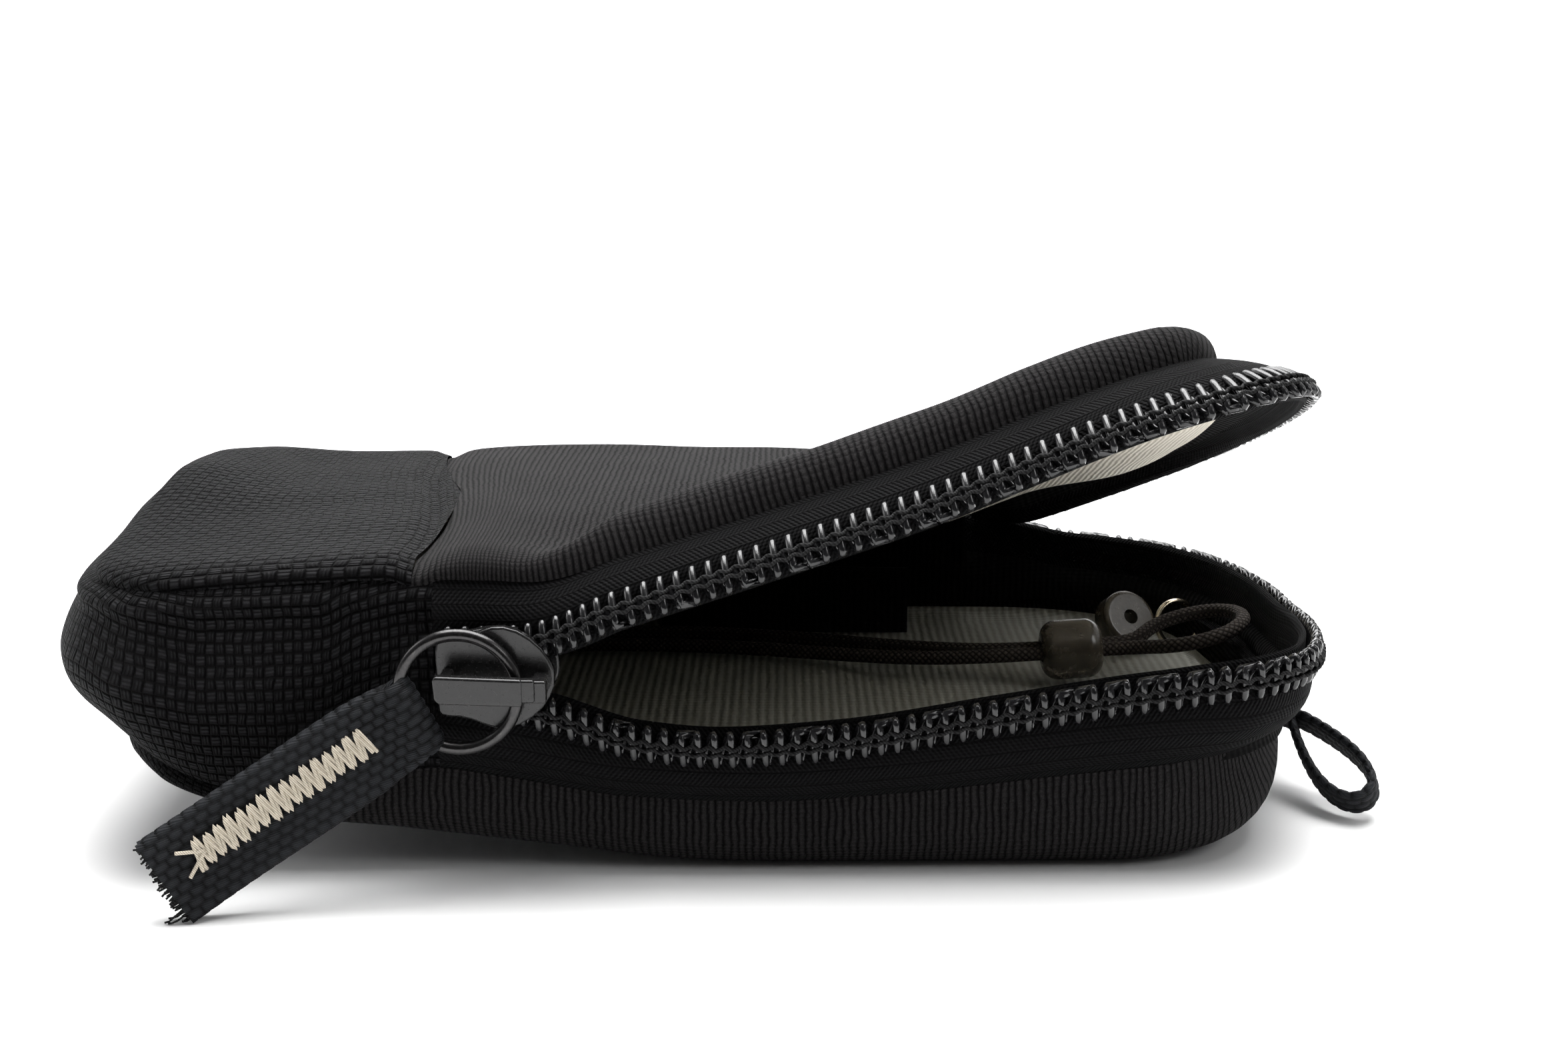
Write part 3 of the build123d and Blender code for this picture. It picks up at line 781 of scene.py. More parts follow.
def wall_grid(start, end, rows):
    """A strip of wall: rows is a list of functions of outline length that give inset and height."""
    count = int(abs(end - start) / wall_step) + 1
    lengths = np.linspace(start, end, count)
    x, y, nx, ny = at_outline(lengths)
    grid, cloth = [], []
    run = np.zeros(count)
    for row in rows:
        inset, height = row(lengths)
        inset = np.broadcast_to(inset, x.shape)
        height = np.broadcast_to(height, x.shape)
        place = np.stack([x - nx * inset, y - ny * inset, height], -1)
        if grid:
            run = run + np.linalg.norm(place - grid[-1], axis=-1)
        grid.append(place)
        cloth.append(np.stack([lengths, run, np.zeros(count)], -1))
    return np.array(grid), np.array(cloth)


def blend_lid(piece):
    """Bakes the place of a piece that runs from the base over the fold into its points."""
    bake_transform(piece)


def settle(piece, body, slot, *nodes, fill=None):
    """Parents a piece to the body it moves with, or for "fold" bakes its place into its points, and hides
    the nodes it stands for; slot and fill are not used.
    """
    if body != "fold":
        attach(piece, body)
    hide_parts(*nodes)
    if body == "fold":
        blend_lid(piece)


def tube(path, radius, sides):
    """Points and faces of a round tube along a path of points in mm, with its cloth coordinates."""
    path = np.asarray(path, float)
    heading = unit(np.gradient(path, axis=0))
    side = unit(np.cross(heading[0], [0.3, 0.2, 0.93]))
    sides_of = []
    for direction in heading:
        side = unit(side - direction * (side @ direction))
        sides_of.append(side)
    sides_of = np.array(sides_of)
    others = np.cross(heading, sides_of)
    angles = np.linspace(0, 2 * math.pi, sides, endpoint=False)
    ring = np.cos(angles)[None, :, None] * sides_of[:, None]
    ring = ring + np.sin(angles)[None, :, None] * others[:, None]
    points = path[:, None] + radius * ring
    cloth = np.zeros(points.shape)
    cloth[..., 0] = run_along(path)[:, None]
    cloth[..., 1] = (angles * radius)[None, :]
    return points, cloth


def tubes_object(name, paths, radius, material, sides):
    """One piece of several round threads, with closed ends."""
    vertices, faces, cloth = [], [], []
    for path in paths:
        points, coordinates = tube(path, radius, sides)
        start = len(vertices)
        faces += grid_faces(len(points), sides, True, start)
        vertices += points.reshape(-1, 3).tolist()
        cloth += coordinates.reshape(-1, 3).tolist()
        faces.append(tuple(range(start + sides - 1, start - 1, -1)))
        last = start + (len(points) - 1) * sides
        faces.append(tuple(range(last, last + sides)))
    return new_object(name, vertices, faces, material, cloth)


# ---------------------------------------------------------------- base: panels and walls

front_cross = outline_length(cross_seam, -half_width)
back_cross = outline_length(cross_seam, half_width)
front_zip = outline_length(zip_seam, -half_width)
back_zip = outline_length(zip_back, half_width)


bottom_roll = 5.0
bottom_rise = 10.0


def bottom_panel(name, start, end, material, slot, *nodes):
    """Half of the puffed underside, hung from the low seam."""
    rings, cloth, lengths = panel_grid(
        start, end, low_tuck, bottom_roll, bottom_rise, 0.0, 3.0, dent=0.0, puff=0.3
    )
    share = np.clip(rings[..., 2] / bottom_rise, 0, 1)
    seam, floor = low_seam_over(rings[..., 0], rings[..., 1]), underside(rings[..., 0])
    seam = seam + seam_step(rings, lengths, low_seam, low_seam_over)
    rings[..., 2] = seam * (1 - share) + np.minimum(floor, seam) * share
    piece = grid_object(name, rings, cloth, material)
    merge_close(piece)
    settle(piece, "base", slot, *nodes, fill=0.6)


def make_bottom():
    """The padded underside: knit to the right of the cross seam and nylon to its left."""
    knit, nylon = materials["knit"], materials["nylon"]
    nodes = ("bottom_knit_panel", "bottom_foam")
    bottom_panel("bottom_knit", front_cross, back_cross, knit, "knit_fabric", *nodes)
    end = front_cross + outline_total
    bottom_panel("bottom_nylon", back_cross, end, nylon, "nylon_weave", "bottom_nylon_panel")


def make_floor_lining():
    """The lining on the pouch's floor, the cream lining's cloth in darker colours as painted shade, a
    little dished, turned up at its edge.
    """
    inset = lambda lengths: low_tuck(lengths) + 2.2
    rings, cloth, _ = panel_grid(0, outline_total, inset, 5.0, 2.0, 0.3, 9.0, dent=0.4)
    level = np.maximum(9.4, underside(rings[..., 0]) + 2.5)
    rings[..., 2] = level + 1.6 - rings[..., 2]
    piece = grid_object("floor_lining", rings, cloth, materials["grey_lining"])
    merge_close(piece)
    settle(piece, "base", "grey_lining", "bottom_lining")


def make_gusset():
    """The nylon wall round the closed end, from the zip's back end to its front end."""

    def row(share, lengths):
        bottom, top = low_seam(lengths) - 0.5, top_seam(lengths) + 0.6
        inset = 0.3 + top_inset(lengths) * smooth(share * 2 - 1)
        inset = inset + (low_tuck(lengths) - 0.9) * (1 - smooth(share / 0.55))
        puff = gusset_bulge(lengths) * math.sin(math.pi * share**0.8) ** 0.8
        lip = 1.1 * math.exp(-(((share - 0.90) / 0.055) ** 2))
        return inset + 1.2 * (2 * share - 1) ** 8 - puff - lip, bottom + (top - bottom) * share

    end = front_zip + outline_total
    grid, cloth = wall_grid(back_zip, end, [partial(row, share) for share in np.linspace(0, 1, 34)])
    share = np.linspace(0, 1, len(grid))[:, None]
    dents = ripple(cloth, 13.0, 1.0, 4.0) * np.sin(math.pi * share)
    _, _, nx, ny = at_outline(np.linspace(back_zip, end, grid.shape[1]))
    grid[..., 0] += nx * dents
    grid[..., 1] += ny * dents
    piece = grid_object("gusset_nylon", grid, cloth, materials["nylon"])
    settle(piece, "base", "nylon_weave", "end_gusset", fill=0.5)


def make_end_wall_lining():
    """The black lining inside the closed end's wall."""

    def row(share, lengths):
        bottom, top = low_seam(lengths), top_seam(lengths) - 0.6
        inset = 2.4 + top_inset(lengths) * share
        return inset + 0.8 * math.sin(math.pi * share), bottom + (top - bottom) * share

    rows = [partial(row, share) for share in np.linspace(0, 1, 12)]
    grid, cloth = wall_grid(back_zip, front_zip + outline_total, rows)
    piece = grid_object("end_wall_lining", grid, cloth, materials["black_lining"])
    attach(piece, "base")


def slant(lengths, height):
    """How far in the lid's wall leans towards its top seam, at a height off its rim."""
    return top_inset(lengths) * (np.maximum(height, 0) / 9.0) ** 1.6


def lean(lengths, drop, side):
    """How far inside its rim a tape's turned edge lies."""
    return 0.9 + 0.1 * drop + (slant(lengths, drop) if side < 0 else 0.0)


def rim_turn(rim, side, drops):
    """Rows that take a tape over its rim and on along the inside."""

    def row(drop, lengths):
        return lean(lengths, drop, side), rim(lengths) - side * (0.35 + drop)

    edge = lambda lengths: (0.45, rim(lengths) - side * 0.05)
    return [edge] + [partial(row, drop) for drop in drops]


def make_lower_tape():
    """The lower zip tape: up from the low seam, over the rim and a little way down inside."""

    def row(share, lengths):
        bottom, top = low_seam(lengths) - 0.3, lower_rim(lengths) - 0.35
        out = 1.5 * math.sin(math.pi * min(share * 1.25, 1))
        out = out - (low_tuck(lengths) + 0.4) * (1 - share) ** 4
        return -out, bottom + (top - bottom) * share

    rows = [partial(row, share) for share in np.linspace(0, 1, 16)]
    rows = rows + rim_turn(lower_rim, 1, (0.3, 2, 4, 6.5, 8))
    grid, cloth = wall_grid(front_zip, back_zip, rows)
    piece = grid_object("lower_tape", grid, cloth, materials["tape"])
    settle(piece, "base", "zip_tape", "lower_zip_tape")


def make_lower_wall_lining():
    """The puffed black lining inside the mouth's wall."""

    def row(share, lengths):
        bottom, top = low_seam(lengths) - 0.8, lower_rim(lengths) - 5.6
        puff = 1.7 * math.sin(math.pi * (0.15 + 0.85 * share)) ** 0.7
        return 1.1 + puff, bottom + (top - bottom) * share

    rows = [partial(row, share) for share in np.linspace(0, 1, 12)]
    grid, cloth = wall_grid(front_zip, back_zip, rows)
    piece = grid_object("lower_wall_lining", grid, cloth, materials["black_lining"])
    settle(piece, "base", "black_lining", "lower_wall_foam")


# ---------------------------------------------------------------- top and lid


def top_shape(rings, lengths, seam_width, seam_depth):
    """Sets a puffed panel on the top seam, sinks it at the cross seam and at the fold."""
    rings[..., 2] *= 1 + 0.8 * peel_share(rings)
    seam = top_seam_over(rings[..., 0], rings[..., 1])
    rings[..., 2] += seam - 0.2 + seam_step(rings, lengths, top_seam, top_seam_over)
    rings[..., 2] -= seam_depth * np.exp(-(((rings[..., 0] - cross_seam) / seam_width) ** 2))
    valley = ((rings - peel_start) @ peel_way - peel_span * 0.4) / 9.0
    inner = smooth((half_width - np.abs(rings[..., 1])) / 22.0)
    rings[..., 2] -= 2.2 * np.exp(-(valley**2)) * inner
    return curve_seam(rings)


def make_top_nylon():
    """The nylon end of the top, with its edge sewn down along the cross seam."""
    end = front_cross + outline_total
    rings, cloth, lengths = panel_grid(back_cross, end, top_inset, 5.5, 2.6, 0.2, 6.0)
    piece = grid_object("top_nylon", top_shape(rings, lengths, 1.6, 0.9), cloth, materials["nylon"])
    merge_close(piece)
    settle(piece, "base", "nylon_weave", "top_nylon_panel", fill=0.6)


def make_top_knit():
    """The knit top: one sheet over the fixed part and the lid, which bends at the fold."""
    rings, cloth, lengths = panel_grid(front_cross, back_cross, top_inset, 5.5, 3.4, 0.4, 1.0)
    rings[..., 2] *= 1 - 0.25 * np.exp(-(((rings[..., 0] - cross_seam) / 7.0) ** 2))
    shape = peel(top_shape(rings, lengths, 2.4, 1.3))
    piece = grid_object("top_knit", shape, cloth, materials["knit"])
    merge_close(piece)
    nodes = ("top_knit_fixed", "lid_knit_panel", "top_foam", "lid_foam")
    settle(piece, "fold", "knit_fabric", *nodes, fill=0.6)


def make_top_lining():
    """The cream lining under the top and the lid."""
    inset = lambda lengths: top_inset(lengths) + 1.4
    rings, cloth, _ = panel_grid(0, outline_total, inset, 5.0, 2.5, 0.0, 5.0)
    edge_gap = half_width - np.abs(rings[..., 1])
    sag = 1.6 * peel_share(rings) * smooth((edge_gap - 6) / 20)
    sag = sag + 2.2 * smooth((rings[..., 0] - 42) / 18) * smooth((edge_gap - 3) / 12)
    rings[..., 2] = top_seam_over(rings[..., 0], rings[..., 1]) - 0.6 - rings[..., 2] - sag
    piece = grid_object("top_lining_cloth", peel(rings), cloth, materials["cream_lining"])
    merge_close(piece)
    settle(piece, "fold", "cream_lining", "top_lining", "lid_lining")


def make_upper_tape():
    """The upper zip tape: down from the top seam to the rim, over it and up a little inside."""

    def row(share, lengths):
        bottom, top = upper_rim(lengths) + 0.35, top_seam(lengths) + 0.3
        inset = top_inset(lengths) * share**1.6
        out = 0.9 * math.sin(math.pi * min((1 - share) * 1.2, 1)) + 0.5 * math.sin(math.pi * share)
        return inset - out + 0.8 * share**6, bottom + (top - bottom) * share

    rows = [partial(row, share) for share in np.linspace(1, 0, 16)]
    rows = rows + rim_turn(upper_rim, -1, (0.3, 1.5, 3, 5, 6.5))
    grid, cloth = wall_grid(front_zip, back_zip, rows)
    piece = grid_object("upper_tape", peel(grid), cloth, materials["tape"])
    settle(piece, "fold", "zip_tape", "upper_zip_tape", "upper_tape_fixed")


def make_upper_wall_lining():
    """The black lining inside the lid's wall."""

    def row(share, lengths):
        top, bottom = top_seam(lengths) - 0.8, upper_rim(lengths) + 2.4
        inset = 1.1 + 1.0 * math.sin(math.pi * (0.15 + 0.85 * share)) ** 0.7
        leaning = top_inset(lengths) * (1 - 0.85 * share) ** 1.6
        return inset + leaning, top + (bottom - top) * share

    rows = [partial(row, share) for share in np.linspace(0, 1, 8)]
    grid, cloth = wall_grid(front_zip, back_zip, rows)
    piece = grid_object("upper_wall_lining", peel(grid), cloth, materials["black_lining"])
    settle(piece, "fold", "black_lining", "upper_wall_foam")


# ---------------------------------------------------------------- zip chain

pitch = 2.0
wire_radius = 0.50
turn_steps = 16
coil_thread_radius = 0.24


def on_zip(lengths, height, out, rim, side):
    """Points on a coil: height is measured from the mating edge, away from it, and out off the tape."""
    x, y, nx, ny = at_outline(lengths)
    z = rim(lengths) + side * height
    if rim is upper_rim:
        out = out - slant(lengths, height)
    return np.stack([x + nx * out, y + ny * out, z], -1)


def even_lengths(start, end, rim, change):
    """Turns distance along the rim as it lies at rest into length along the outline."""
    lengths = np.linspace(start, end, 1200)
    rim_line = change(on_zip(lengths, 0.0, 0.0, rim, 1))
    run = run_along(rim_line)
    return run[-1], lambda distance: np.interp(distance, run, lengths)


def coil_half(name, start, end, rim, side, change):
    """One half of the chain: the wire's turns and the sewing thread along their middle."""
    total, to_length = even_lengths(start, end, rim, change)
    turns = int(total / pitch)
    angle = np.linspace(0, 2 * math.pi * turns, turns * turn_steps + 1)
    half = coil_height / 2 - wire_radius
    height = coil_height / 2 - half * np.cos(angle)
    out = coil_depth / 2 + (coil_depth / 2 - wire_radius) * np.sin(angle)
    out = out + 0.3 * np.exp(-(((height - wire_radius) / 1.0) ** 2))
    within = np.mod(angle, 2 * math.pi)
    forward = np.where(within < math.pi, 0.20 * within / math.pi, 0.20 + 0.80 * (within / math.pi - 1))
    distance = pitch * (np.floor(angle / (2 * math.pi) + 1e-9) + forward)
    wire = change(on_zip(to_length(distance), height, out, rim, side))
    turn_piece = tubes_object(name + "_turns", [wire], wire_radius, materials["coil"], 8)
    angle = np.linspace(0, 2 * math.pi * turns, turns * 8 + 1)
    paths = []
    for level, phase in ((-0.42, 0.0), (0.42, math.pi)):
        out = coil_depth - 0.02 + 0.26 * np.cos(angle - 0.5)
        height = coil_height / 2 + level + 0.18 * np.sin(angle + phase)
        paths.append(change(on_zip(to_length(pitch * angle / (2 * math.pi)), height, out, rim, side)))
    thread_piece = tubes_object(name + "_thread", paths, coil_thread_radius, materials["black_thread"], 6)
    return turn_piece, thread_piece


def make_coils():
    """Both halves of the chain, turn by turn, with their sewing threads."""
    turns, thread = coil_half("lower_coil", front_zip + 0.5, back_zip, lower_rim, -1, keep_shape)
    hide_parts("lower_coil")
    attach(turns, "base")
    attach(thread, "base")
    turns, thread = coil_half("upper_coil", front_zip + 1.5, back_zip, upper_rim, 1, peel)
    settle(turns, "fold", "coil_nylon", "upper_coil", "upper_coil_fixed")
    blend_lid(thread)


# ---------------------------------------------------------------- tether cord and fittings

# The cord's route, in metres: the part's, with one point more before and after the bead
cord_route = [
    (-0.0304, 0.0275, 0.0104), (-0.016, 0.028, 0.0105), (0.001, 0.0255, 0.0107),
    (0.0155, 0.0205, 0.0111), (0.0285, 0.0125, 0.0122), (0.0405, 0.00635, 0.0136),
    (0.0537, 0.00635, 0.01453), (0.060, 0.00635, 0.01497), (0.064, 0.0112, 0.0164),
    (0.0698, 0.0126, 0.0178), (0.0742, 0.0099, 0.0190), (0.0759, 0.0048, 0.0196),
    (0.0742, -0.0003, 0.0194), (0.0698, -0.0030, 0.0182), (0.0642, -0.0016, 0.0166),
    (0.060, 0.00365, 0.01497), (0.0537, 0.00365, 0.01453), (0.0405, 0.00365, 0.0136),
    (0.028, 0.0075, 0.012), (0.0145, 0.014, 0.0109), (0.0, 0.0185, 0.0106),
    (-0.016, 0.0205, 0.0105), (-0.0304, 0.0205, 0.0104),
]
cord_diameter = 2.1


def nurbs_points(route, name):
    """The points that a smooth spline through the route's control points follows, in mm."""
    data = bpy.data.curves.new(name, "CURVE")
    data.dimensions = "3D"
    data.resolution_u = 12
    spline = data.splines.new("NURBS")
    spline.points.add(len(route) - 1)
    for point, place in zip(spline.points, route):
        point.co = (*place, 1.0)
    spline.order_u = 3
    spline.use_endpoint_u = True
    holder = bpy.data.objects.new(name, data)
    mesh = bpy.data.meshes.new_from_object(holder)
    places = np.array([vertex.co for vertex in mesh.vertices])
    bpy.data.objects.remove(holder)
    return places / MM


def make_cord():
    """The braided tether cord, with its strands' weave along it."""
    line = nurbs_points(cord_route, "cord_line")
    points, cloth = tube(line, cord_diameter / 2, 16)
    piece = grid_object("tether_cord_braid", points, cloth, materials["braid"], wrap=True)
    settle(piece, "base", "cord_braid", "tether_cord")


def soften(piece, width):
    """A rounded edge, in mm, on a hard piece."""
    edge = piece.modifiers.new("edge", "BEVEL")
    edge.width = width * MM
    edge.segments = 3
    edge.limit_method = "ANGLE"
    edge.angle_limit = math.radians(35)


def plate(name, middle, outline, near, far, edge):
    """A flat plate of the slider: an outline of x and z about its middle, between two depths, in mm."""
    outline = [(middle[0] + x, middle[1] + z) for x, z in outline]
    count = len(outline)
    vertices = [(x, near, z) for x, z in outline] + [(x, far, z) for x, z in outline]
    faces = [tuple(range(count)), tuple(range(2 * count - 1, count - 1, -1))]
    for index in range(count):
        after = (index + 1) % count
        faces.append((index, index + count, after + count, after))
    piece = new_object(name, vertices, faces, materials["black_metal"])
    soften(piece, edge)
    piece.modifiers["edge"].harden_normals = True
    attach(piece, "slider")
    return piece


wing_depth = 1.3


def make_slider():
    """The slider: a lobed wing in front and behind, a wedge between them, lips and a bridge."""
    low, high = node_box("slider_body")
    middle = ((low[0] + high[0]) / 2, (low[2] + high[2]) / 2)
    half_lobe = [
        (7.0, 0.0), (6.9, 1.0), (6.4, 2.3), (5.5, 3.7), (4.2, 4.9), (2.7, 5.8), (1.1, 6.3), (-0.3, 6.25),
        (-1.6, 5.8), (-3.0, 5.2), (-4.4, 4.85), (-5.8, 4.8), (-6.6, 4.7), (-7.0, 4.2), (-7.1, 3.2),
    ]
    lobe = half_lobe + [(x, -z) for x, z in half_lobe[:0:-1]]
    front = plate("slider_front", middle, lobe, low[1], low[1] + wing_depth, 0.35)
    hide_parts("slider_body")
    plate("slider_rear", middle, lobe, high[1] - wing_depth, high[1], 0.3)
    wedge = [(6.0, 0.0), (4.4, 1.5), (1.6, 2.2), (0.4, 0.0), (1.6, -2.2), (4.4, -1.5)]
    plate("slider_wedge", middle, wedge, low[1] + 1.0, high[1] - 1.0, 0.2)
    for name, side in (("slider_lip_top", 1), ("slider_lip_bottom", -1)):
        lip = [(-6.8, 4.75), (-1.0, 5.9), (2.6, 5.75), (2.6, 4.9), (-1.0, 5.0), (-6.8, 3.9)]
        lip = [(x, side * z) for x, z in lip]
        plate(name, middle, lip, low[1] + 1.0, low[1] + 2.3, 0.15)
    make_bridge(middle, low[1])


def make_bridge(middle, face):
    """The long bar that the ring hangs under, stepped at its right end, with a leg at each end."""
    outer = corner("slider_bridge", 0, 1)
    bar = [(-6.4, 1.75), (3.8, 1.35), (3.8, -1.95), (-6.0, -1.65), (-6.5, -1.1), (-6.6, 1.2)]
    piece = plate("bridge_bar", middle, bar, outer, outer + 1.5, 0.4)
    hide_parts("slider_bridge")
    parts = (
        ("bridge_step", (3.4, 6.5), (-1.7, 1.0), (0.7, 2.0)),
        ("bridge_knuckle", (3.0, 5.2), (-1.5, 1.25), (0.25, 1.6)),
        ("bridge_right_leg", (4.6, 6.3), (-1.5, 0.8), (1.6, face - outer + 0.3)),
        ("bridge_left_leg", (-6.2, -4.9), (-1.3, 1.3), (1.2, face - outer + 0.3)),
    )
    for name, xs, zs, depths in parts:
        shape = [(xs[0], zs[0]), (xs[0], zs[1]), (xs[1], zs[1]), (xs[1], zs[0])]
        plate(name, middle, shape, outer + depths[0], outer + depths[1], 0.3)


def make_fittings():
    """The hard pieces that the CAD model already shapes."""
    finishes = (
        ("cord_bead", "bead"), ("cord_disc", "bead"),
        ("small_ring", "bright_metal"), ("pull_ring", "ring_metal"),
    )
    for node, material in finishes:
        shown = frame["nodes"][node].data.materials
        shown.clear()
        shown.append(materials[material])


def make_back_stop():
    """The short band that is sewn across the zip's back end."""
    low, high = node_box("zip_back_stop")
    middle = (low + high) / 2
    rise = np.linspace(-2.9, 2.9, 16)
    path = np.stack([zip_back + 0.7 + 0.25 * rise, middle[1] - 0.9 + 0.05 * rise**2, middle[2] + rise], -1)
    ways = np.broadcast_to([1.0, 0.0, -0.25], path.shape)
    piece = strip_object("back_stop_band", path, ways, 2.6, 1.0, materials["tape"], relief=0.15)
    settle(piece, "base", "zip_tape", "zip_back_stop")


# ---------------------------------------------------------------- webbing


float_length = 1.75
float_width = 1.12
webbing_step = 0.22


def floats(along, across):
    """Relief of webbing from 0 to 1: rows of long yarn floats, each row half a float on."""
    row = np.floor(across / float_width)
    shifted = along / float_length + 0.5 * np.mod(row, 2)
    along_place = 2 * (shifted - np.floor(shifted)) - 1
    across_place = 2 * (across / float_width - row) - 1
    return np.clip(1 - along_place**4, 0, 1) * np.clip(1 - np.abs(across_place) ** 3, 0, 1)


def strip_object(name, path, ways, widths, thickness, material, relief=0.22):
    """A webbing strip along a path in mm, lying across the given ways, with its weave in relief."""
    path, ways = np.asarray(path, float), np.asarray(ways, float)
    run = run_along(path)
    even = np.linspace(0, run[-1], int(run[-1] / webbing_step) + 1)
    path = np.stack([np.interp(even, run, path[:, i]) for i in range(3)], -1)
    ways = np.stack([np.interp(even, run, ways[:, i]) for i in range(3)], -1)
    widths = np.interp(even, run, np.broadcast_to(widths, len(run)))
    heading = unit(np.gradient(path, axis=0))
    ways = unit(ways - heading * np.sum(ways * heading, axis=1)[:, None])
    out = np.cross(heading, ways)
    shares = np.linspace(-1, 1, int(widths.max() / webbing_step))
    sides = [(share, 1) for share in shares] + [(share, -1) for share in shares[::-1]]
    grid, cloth = [], []
    for share, side in sides:
        across = share * widths / 2
        bump = floats(even + (0.4 if side < 0 else 0.0), across + 30)
        round_off = math.sqrt(max(1 - abs(share) ** 8, 0.0))
        level = side * (round_off * (thickness / 2 - relief) + relief * bump * (0.3 + 0.7 * round_off))
        spill = share * widths / 2 + np.sign(share) * 0.25 * bump * abs(share) ** 12
        grid.append(path + ways * spill[:, None] + out * level[:, None])
        cloth.append(np.stack([even, across + (0 if side > 0 else 40), bump], -1))
    grid = np.array(grid + grid[:1]).transpose(1, 0, 2)
    cloth = np.array(cloth + cloth[:1]).transpose(1, 0, 2)
    return grid_object(name, grid, cloth, material)


pull_joint = next(joint for joint in frame["joints"] if joint["name"] == "pull_swing")
grip = np.array(pull_joint["pos_m"]) / MM
pull_across = np.array(pull_joint["axis"])
pull_run = unit(np.array([-25.2, -7.6, -15.9]))
pull_out = np.cross(pull_across, pull_run)
pull_out = pull_out * (-1 if pull_out[1] > 0 else 1)
pull_layer = 1.35
layer_middle = 0.72
tack_radius = 0.23
fray_radius = 0.13
pull_length = 33.4
pull_width = 11.0


def pull_place(run, out, across=0.0):
    """A point on the pull, from the ring: along it, off its middle plane, and across."""
    return grip + pull_run * run + pull_out * out + pull_across * across


def make_pull():
    """The folded webbing of the pull, round the ring, with its cut end and its stitching."""
    fold, fold_reach = 1.75, 4.0
    runs = np.linspace(pull_length, fold_reach, 40)
    front = [pull_place(run, layer_middle + 0.02 * run * math.sin(run / 5)) for run in runs]
    turn = []
    for angle in np.linspace(math.pi / 2, 3 * math.pi / 2, 15):
        turn.append(pull_place(fold * math.cos(angle) * 1.1, fold * math.sin(angle)))
    back = [pull_place(run, -layer_middle) for run in runs[::-1]]
    swell = fold - layer_middle
    ease = [(run, layer_middle + swell * (1 - run / fold_reach) ** 2) for run in (3.0, 2.0, 1.0)]
    ease_front = [pull_place(run, out) for run, out in ease]
    ease_back = [pull_place(run, -out) for run, out in ease[::-1]]
    path = np.array(front + ease_front + turn + ease_back + back)
    ways = np.broadcast_to(pull_across, path.shape)
    near = np.clip(1 - ((path - grip) @ pull_run) / 7.0, 0, 1)
    widths = pull_width - 1.6 * near**1.5
    piece = strip_object("pull_strip", path, ways, widths, pull_layer, materials["webbing"])
    settle(piece, "pull", "webbing", "pull_webbing")
    make_bartack()
    make_fray()


def make_bartack():
    """The ivory zigzag down the middle of the pull, forked at its lower end."""
    start, end, half = 5.0, 28.4, 1.75
    count = 16
    level = layer_middle + pull_layer / 2 + 0.16
    paths = []
    for strand, shift in ((0, 0.0), (1, 0.42)):
        points = []
        for index in range(2 * count + 1):
            run = start + (end - start) * index / (2 * count) + shift
            sway = 0.8 + half * (1 if index % 2 else -1) + 0.25 * math.sin(index * 2.3 + strand)
            points.append((run, sway))
        points = np.array(points)
        smooth_run = np.linspace(0, len(points) - 1, (len(points) - 1) * 8 + 1)
        run = np.interp(smooth_run, range(len(points)), points[:, 0])
        sway = np.interp(smooth_run, range(len(points)), points[:, 1])
        lift = level + 0.12 * np.cos(smooth_run * math.pi * 2) + 0.10 * strand
        lift = lift - 0.22 * np.abs((sway - 0.8) / half) ** 8
        paths.append([pull_place(a, b, c) for a, b, c in zip(run, lift, sway)])
    for side in (-1, 1):
        fork = np.linspace(0, 1, 12)
        paths.append([pull_place(end - 1.0 + 3.0 * t, level + 0.1, 0.8 + side * 1.7 * t) for t in fork])
    piece = tubes_object("pull_stitching", paths, tack_radius, materials["ivory_thread"], 7)
    settle(piece, "pull", "tack_thread", "pull_bartack")


def make_fray():
    """Loose yarn ends at the webbing's cut end."""
    paths = []
    yarns = 64
    for index in range(yarns):
        across = (index / (yarns - 1) - 0.5) * (pull_width - 0.6)
        layer = layer_middle if index % 2 else -layer_middle
        wild = noise.noise(Vector((index * 0.71, 0.3, 0.9)))
        drift = noise.noise(Vector((index * 0.53, 4.1, 0.2)))
        length = 0.6 + 0.7 * abs(wild) + (1.6 if index in (5, 6, 9) else 0.0)
        path = []
        for t in np.linspace(0, 1, 6):
            run = pull_length - 0.8 + length * t + 0.8 * t
            place = pull_place(run, layer + 0.5 * wild * t * t, across + 0.9 * drift * t * t)
            path.append((place[0], place[1], max(place[2], 0.25)))
        paths.append(path)
    piece = tubes_object("pull_fray", paths, fray_radius, materials["black_thread"], 5)
    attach(piece, "pull")


loop_seam = np.array([74.2, -9.5, 12.4])
loop_root = np.array([79.5, -14.5, 9.0])
loop_run = unit(np.array([0.34, -0.86, -0.37]))
loop_plane = np.array([-0.50, 0.20, 0.84])
loop_side = unit(np.cross(loop_plane, loop_run))
loop_normal = np.cross(loop_run, loop_side)


def make_hang_loop():
    """The narrow webbing loop sewn into the end seam, drooping to the floor."""
    length, half = 17.0, 4.2
    points = []
    for turn in np.linspace(0, 1, 60):
        angle = 2 * math.pi * turn + math.pi
        run = length / 2 + length / 2 * math.cos(angle)
        side = half * math.sin(angle) * (0.35 + 0.65 * run / length)
        points.append(loop_root + loop_run * (run - 1.5) + loop_side * side)
    stem = [loop_seam + (points[0] - loop_seam) * share for share in np.linspace(0, 1, 9)[:-1]]
    apart = loop_side * 0.7
    points = [p - apart for p in stem] + points[1:-1] + [p + apart for p in stem[::-1]]
    ways = np.broadcast_to(loop_normal, (len(points), 3))
    piece = strip_object("hang_loop_strip", points, ways, 4.0, 1.3, materials["webbing"], relief=0.2)
    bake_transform(piece)
    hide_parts("hang_loop")


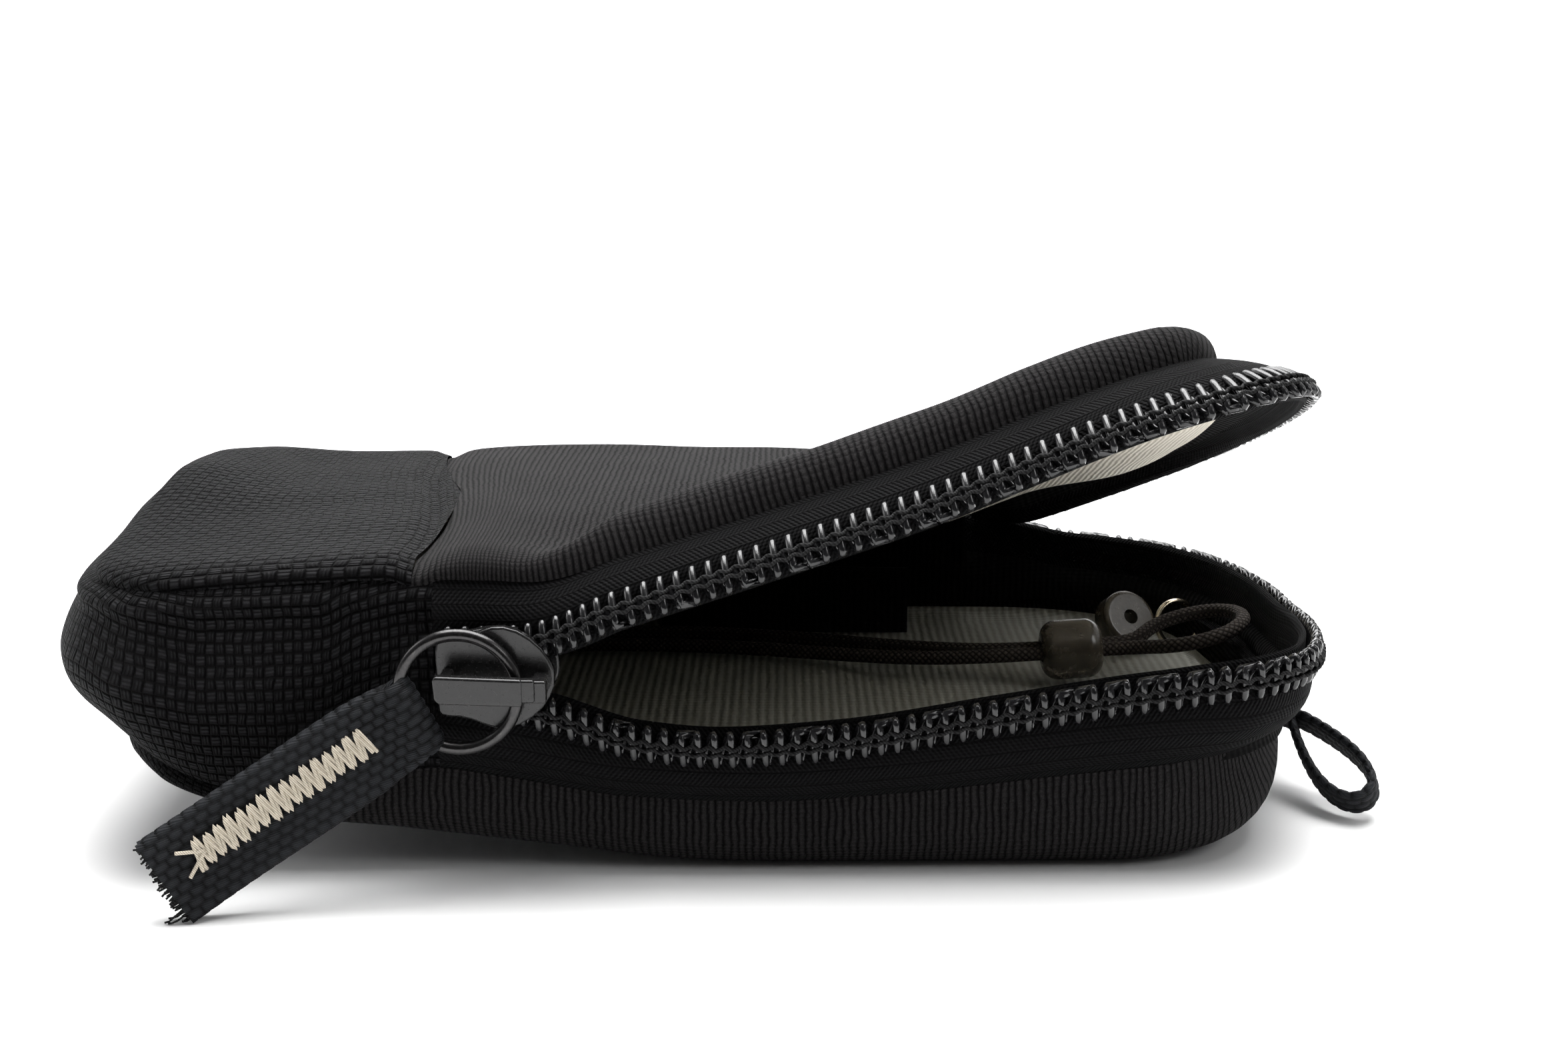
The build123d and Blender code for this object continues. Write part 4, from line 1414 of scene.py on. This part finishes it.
def make_divider():
    """The black pocket inside, with a bound top edge."""
    low, high = node_box("divider")
    line = np.linspace(low[0], high[0], 40)
    middle = (low[1] + high[1]) / 2
    rows, cloth = [], []
    profile = [(-0.5, 0.0), (-0.55, 0.5), (-0.5, 0.9), (-0.65, 0.93), (-0.6, 1.0)]
    profile += [(0.6, 1.0), (0.65, 0.93), (0.5, 0.9), (0.55, 0.5), (0.5, 0.0)]
    for out, share in profile:
        sway = 0.5 * np.sin(line / 7.0) * share
        height = low[2] + 0.3 + (high[2] - low[2] - 0.3) * share
        rows.append(np.stack([line, middle + out + sway, np.full(40, height)], -1))
        cloth.append(np.stack([line, np.full(40, height), np.zeros(40)], -1))
    piece = grid_object("divider_cloth", np.array(rows), np.array(cloth), materials["black_lining"])
    settle(piece, "base", "black_lining", "divider")


def make_anchor():
    """The webbing tab that the tether cord is sewn under."""
    low, high = node_box("cord_anchor")
    x = np.linspace(low[0], high[0], 14)
    path = np.stack([x, np.full(14, (low[1] + high[1]) / 2), high[2] - 0.6 + 0.2 * np.sin(x)], -1)
    ways = np.broadcast_to([0.0, 1.0, 0.0], path.shape)
    piece = strip_object("anchor_tab", path, ways, high[1] - low[1], 1.1, materials["webbing"], relief=0.15)
    settle(piece, "base", "webbing", "cord_anchor")


sweep_start, sweep_bend, sweep_radius = -700, 500, 300
sweep_top = 1200
sweep_half_width = 1400


def make_floor():
    """A white paper sweep under and behind the pouch."""
    points = []
    for run in np.linspace(sweep_start, sweep_bend, 30):
        points.append((run, 0.0))
    for angle in np.linspace(0, math.pi / 2, 16)[1:]:
        out, up = sweep_radius * math.sin(angle), sweep_radius - sweep_radius * math.cos(angle)
        points.append((sweep_bend + out, up))
    points.append((sweep_bend + sweep_radius, sweep_top))
    xs = np.linspace(-sweep_half_width, sweep_half_width, 8)
    grid = np.array([[(x, y, z) for x in xs] for y, z in points])
    piece = grid_object("paper_sweep", grid, grid.copy(), materials["floor"])


add_camera()
make_cord()
add_light()
make_floor()
make_bottom()
make_floor_lining()
make_gusset()
make_end_wall_lining()
make_lower_tape()
make_lower_wall_lining()
make_top_nylon()
make_top_knit()
make_top_lining()
make_upper_tape()
make_upper_wall_lining()
make_coils()
make_fittings()
make_back_stop()
make_slider()
make_pull()
make_hang_loop()
make_divider()
make_anchor()
